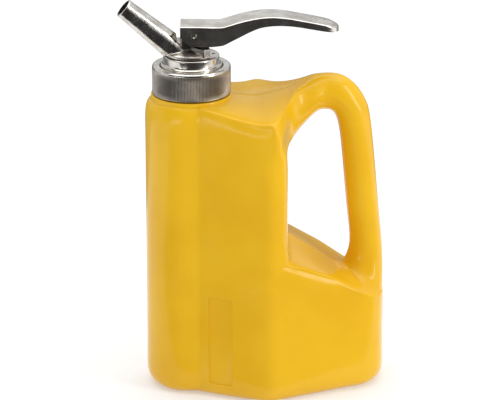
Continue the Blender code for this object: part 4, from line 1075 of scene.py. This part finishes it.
places, strip = stations(), rows()
sheet = bmesh.new()
bmesh.ops.create_grid(sheet, x_segments=len(places) - 1, y_segments=len(strip) - 1, size=0.5)
for vert in sheet.verts:
    column_n = round((vert.co.x + 0.5) * (len(places) - 1))
    row_n = round((vert.co.y + 0.5) * (len(strip) - 1))
    vert.co = folded(places[column_n], strip[row_n])
bmesh.ops.remove_doubles(sheet, verts=sheet.verts, dist=0.01)
bmesh.ops.dissolve_degenerate(sheet, edges=sheet.edges, dist=0.005)
print("lever sheet:", len(sheet.faces), "faces")

# %% [markdown]
# Thickness grows inward, so the outside stays where it was drawn. The hole for the pin is
# drilled through both flanges, and a small bevel takes the sharpness off every cut edge.

# %% Thicken, drill and trim the lever
lever = to_object("bent_lever", sheet)
modify(lever, "SOLIDIFY", thickness=LEVER_SHEET * MM, offset=-1.0, use_even_offset=True)
hole_r = PIN_R + 0.15
cut(lever, tapered(hole_r, hole_r, (PIN_X, -12, pin_z), Vector((0, 1, 0)), 24, 32))
sharp = {"limit_method": "ANGLE", "angle_limit": math.radians(50)}
modify(lever, "BEVEL", width=0.22 * MM, segments=2, **sharp)
piece(lever, nickel_lever, "lever_steel", "lever")

# %% [markdown]
# ## The pin
# A rolled spring pin holds the lever to the stem. It is a short tube with rounded ends, spun
# upright and laid across.

# %% Roll the pin
pin_half = lever_half - 0.05
bore_r = PIN_R * 0.45
pin_profile = [(bore_r, 0.3), (bore_r + 0.3, 0.0)] + arc((PIN_R - 0.2, 0.2), 0.2, 270, 360, 4)
pin_profile += [(radius, 2 * pin_half - height) for radius, height in reversed(pin_profile)]
pin_mesh = lathe(pin_profile, 32)
lay = Matrix.Translation((PIN_X, pin_half, pin_z)) @ Matrix.Rotation(math.radians(90), 4, "X")
pin_mesh.transform(lay)
pin = to_object("rolled_pin", pin_mesh)

# %% [markdown]
# ## Brass, steel and rubber inside
# The valve and the flame arrester hide inside the neck. Their CAD shapes are right already, so
# they keep them and get the finish of turned brass, drawn steel or moulded rubber.

# %% Finishes of the inner pieces
def turned(name, dark, light, gloss, metallic=1.0, relief=0.02):
    look, spot = start_look(name, Metallic=metallic)
    clouds = spot.speckle(4, 3.0).ease(0.3, 0.7)
    lines = spot.speckle(0.4, 2.0, (0.2, 0.2, 1))
    marks = spot.speckle(2.2, 3.0).ease(0.55, 0.75)
    roughness = gloss + 0.1 * lines + 0.12 * marks
    colour = (marks * 0.3).tint(clouds.tint(dark, light), [0.4 * part for part in dark])
    return end_look(look, colour, roughness, lines, relief)


brass = turned("turned_brass", (0.46, 0.30, 0.09), (0.66, 0.47, 0.18), 0.22)
steel = turned("drawn_steel", (0.40, 0.40, 0.41), (0.58, 0.58, 0.59), 0.22)
rubber = turned("moulded_rubber", (0.014, 0.014, 0.015), (0.028, 0.028, 0.03), 0.62, 0.0, 0.05)
for looks, names in (
    (brass, ("lock_nut", "valve_seat", "valve_plug", "gland_nut", "arrester_cap", "vent_tube")),
    (steel, ("valve_stem", "plug_nut", "spring_washer", "return_spring", "flame_arrester")),
    (rubber, ("neck_gasket", "flange_seal", "plug_seal", "stem_o_ring")),
):
    for name in names:
        frame["nodes"][name].data.materials[0] = looks
piece(pin, nickel_lever, "pin_steel", "lever_pin")

# %% [markdown]
# ## Floor, light and camera
# The photograph shows the can alone on white, lit softly from above and from both sides. A wide
# pale floor in a pale room gives the white, and three area lights give the soft highlights.

# %% Floor
floor_look, spot = start_look("pale_floor", Emission_Strength=0.33)
mottle = spot.speckle(160, 2.0).ease(0.3, 0.7)
end_look(floor_look, mottle.tint((0.62, 0.62, 0.62), (0.64, 0.64, 0.64)), 0.7 + 0.1 * mottle)
floor_mesh = bmesh.new()
bmesh.ops.create_grid(floor_mesh, x_segments=8, y_segments=8, size=3.0)
floor = in_scene("floor", floor_mesh)
floor.location.z = -0.0002
floor.data.materials.append(floor_look)

# %% Light
TARGET = Vector(((40 + neck_x) * MM, 0, 0.110))


def aimed(name, data, azimuth, elevation, distance):
    """Puts a light or a camera round the can, facing it."""
    thing = bpy.data.objects.new(name, data)
    bpy.context.scene.collection.objects.link(thing)
    a, e = math.radians(azimuth), math.radians(elevation)
    away = Vector((math.sin(a) * math.cos(e), -math.cos(a) * math.cos(e), math.sin(e)))
    thing.location = TARGET + away * distance
    thing.rotation_euler = (-away).to_track_quat("-Z", "Y").to_euler()
    return thing


def soft_light(name, azimuth, elevation, distance, size, watts):
    """A rectangular area light."""
    data = bpy.data.lights.new(name, "AREA")
    data.shape = "RECTANGLE"
    data.size, data.size_y = size
    data.energy = watts
    aimed(name, data, azimuth, elevation, distance)


soft_light("top_light", 170, 80, 1.5, (2.2, 1.6), 17)
soft_light("right_light", 55, 21, 1.6, (0.35, 1.3), 8.5)
soft_light("left_light", -41, 0.5, 1.6, (0.8, 0.09), 1.2)
world = bpy.data.worlds.new("pale_room")
world.use_nodes = True
backdrop = world.node_tree.nodes["Background"].inputs
backdrop["Color"].default_value = (0.93, 0.94, 0.96, 1)
backdrop["Strength"].default_value = 0.785
bpy.context.scene.world = world
bpy.context.scene.view_settings.view_transform = "Standard"

# %% [markdown]
# Metal shows only what it mirrors. The dark side of the lever and the dark bands on the spout and
# ring tell that it was dark in front of the can, and the tan rim of the ledge that it was grey
# behind. Cards that only reflections can see stand in for that, so the floor stays pale in
# every view.

# %% Cards for the reflections
def dark_card(name, corners, grey):
    """A flat card with four corners that is seen only in reflections."""
    shape = bmesh.new()
    bmesh.ops.create_grid(shape, x_segments=1, y_segments=1, size=0.5)
    for vert, corner in zip(shape.verts, corners):
        vert.co = corner
    card = in_scene(name, shape)
    look, spot = start_look(name)
    cloth = spot.speckle(60, 2.0)
    end_look(look, cloth.tint((grey,) * 3, (grey * 1.4,) * 3), 0.8 + 0.1 * cloth)
    card.data.materials.append(look)
    for ray in ("camera", "diffuse", "shadow", "transmission"):
        setattr(card, f"visible_{ray}", False)


def standing(low, high, *ends):
    """Corners of a card that stands up from one height to another above a line."""
    return [(x, y, z) for z in (low, high) for x, y in ends]


ON_FLOOR, WALL_BOTTOM, WALL_TOP = 0.001, 0.02, 2.8
CORNER = (-3.0, -2.8)
REAR_Y = 2.6
front_corners = [(-3.0, -3.0), (1.8, -3.0), (-0.30, -0.06), (0.60, -0.06)]
dark_card("dark_front", [(x, y, ON_FLOOR) for x, y in front_corners], 0.012)
dark_card("dark_wall", standing(WALL_BOTTOM, WALL_TOP, CORNER, (1.5, CORNER[1])), 0.03)
dark_card("dark_side", standing(WALL_BOTTOM, WALL_TOP, (CORNER[0], -0.7), CORNER), 0.03)
dark_card("grey_behind", standing(0.0, 0.70, (-2.5, REAR_Y), (2.5, REAR_Y)), 0.20)
dark_card("grey_floor", [(x, y, ON_FLOOR) for y in (0.30, REAR_Y) for x in (-2.5, 2.5)], 0.16)

# %% Camera
FOCAL_PIXELS, PICTURE_PIXELS = 3305.8, 500
lens = bpy.data.cameras.new("camera")
lens.sensor_width = 36
lens.lens = FOCAL_PIXELS * lens.sensor_width / PICTURE_PIXELS
lens.shift_x = -0.016528
lens.shift_y = 0.01402
lens.clip_end = 20
bpy.context.scene.camera = aimed("camera", lens, -6, 19.5, 2.0)
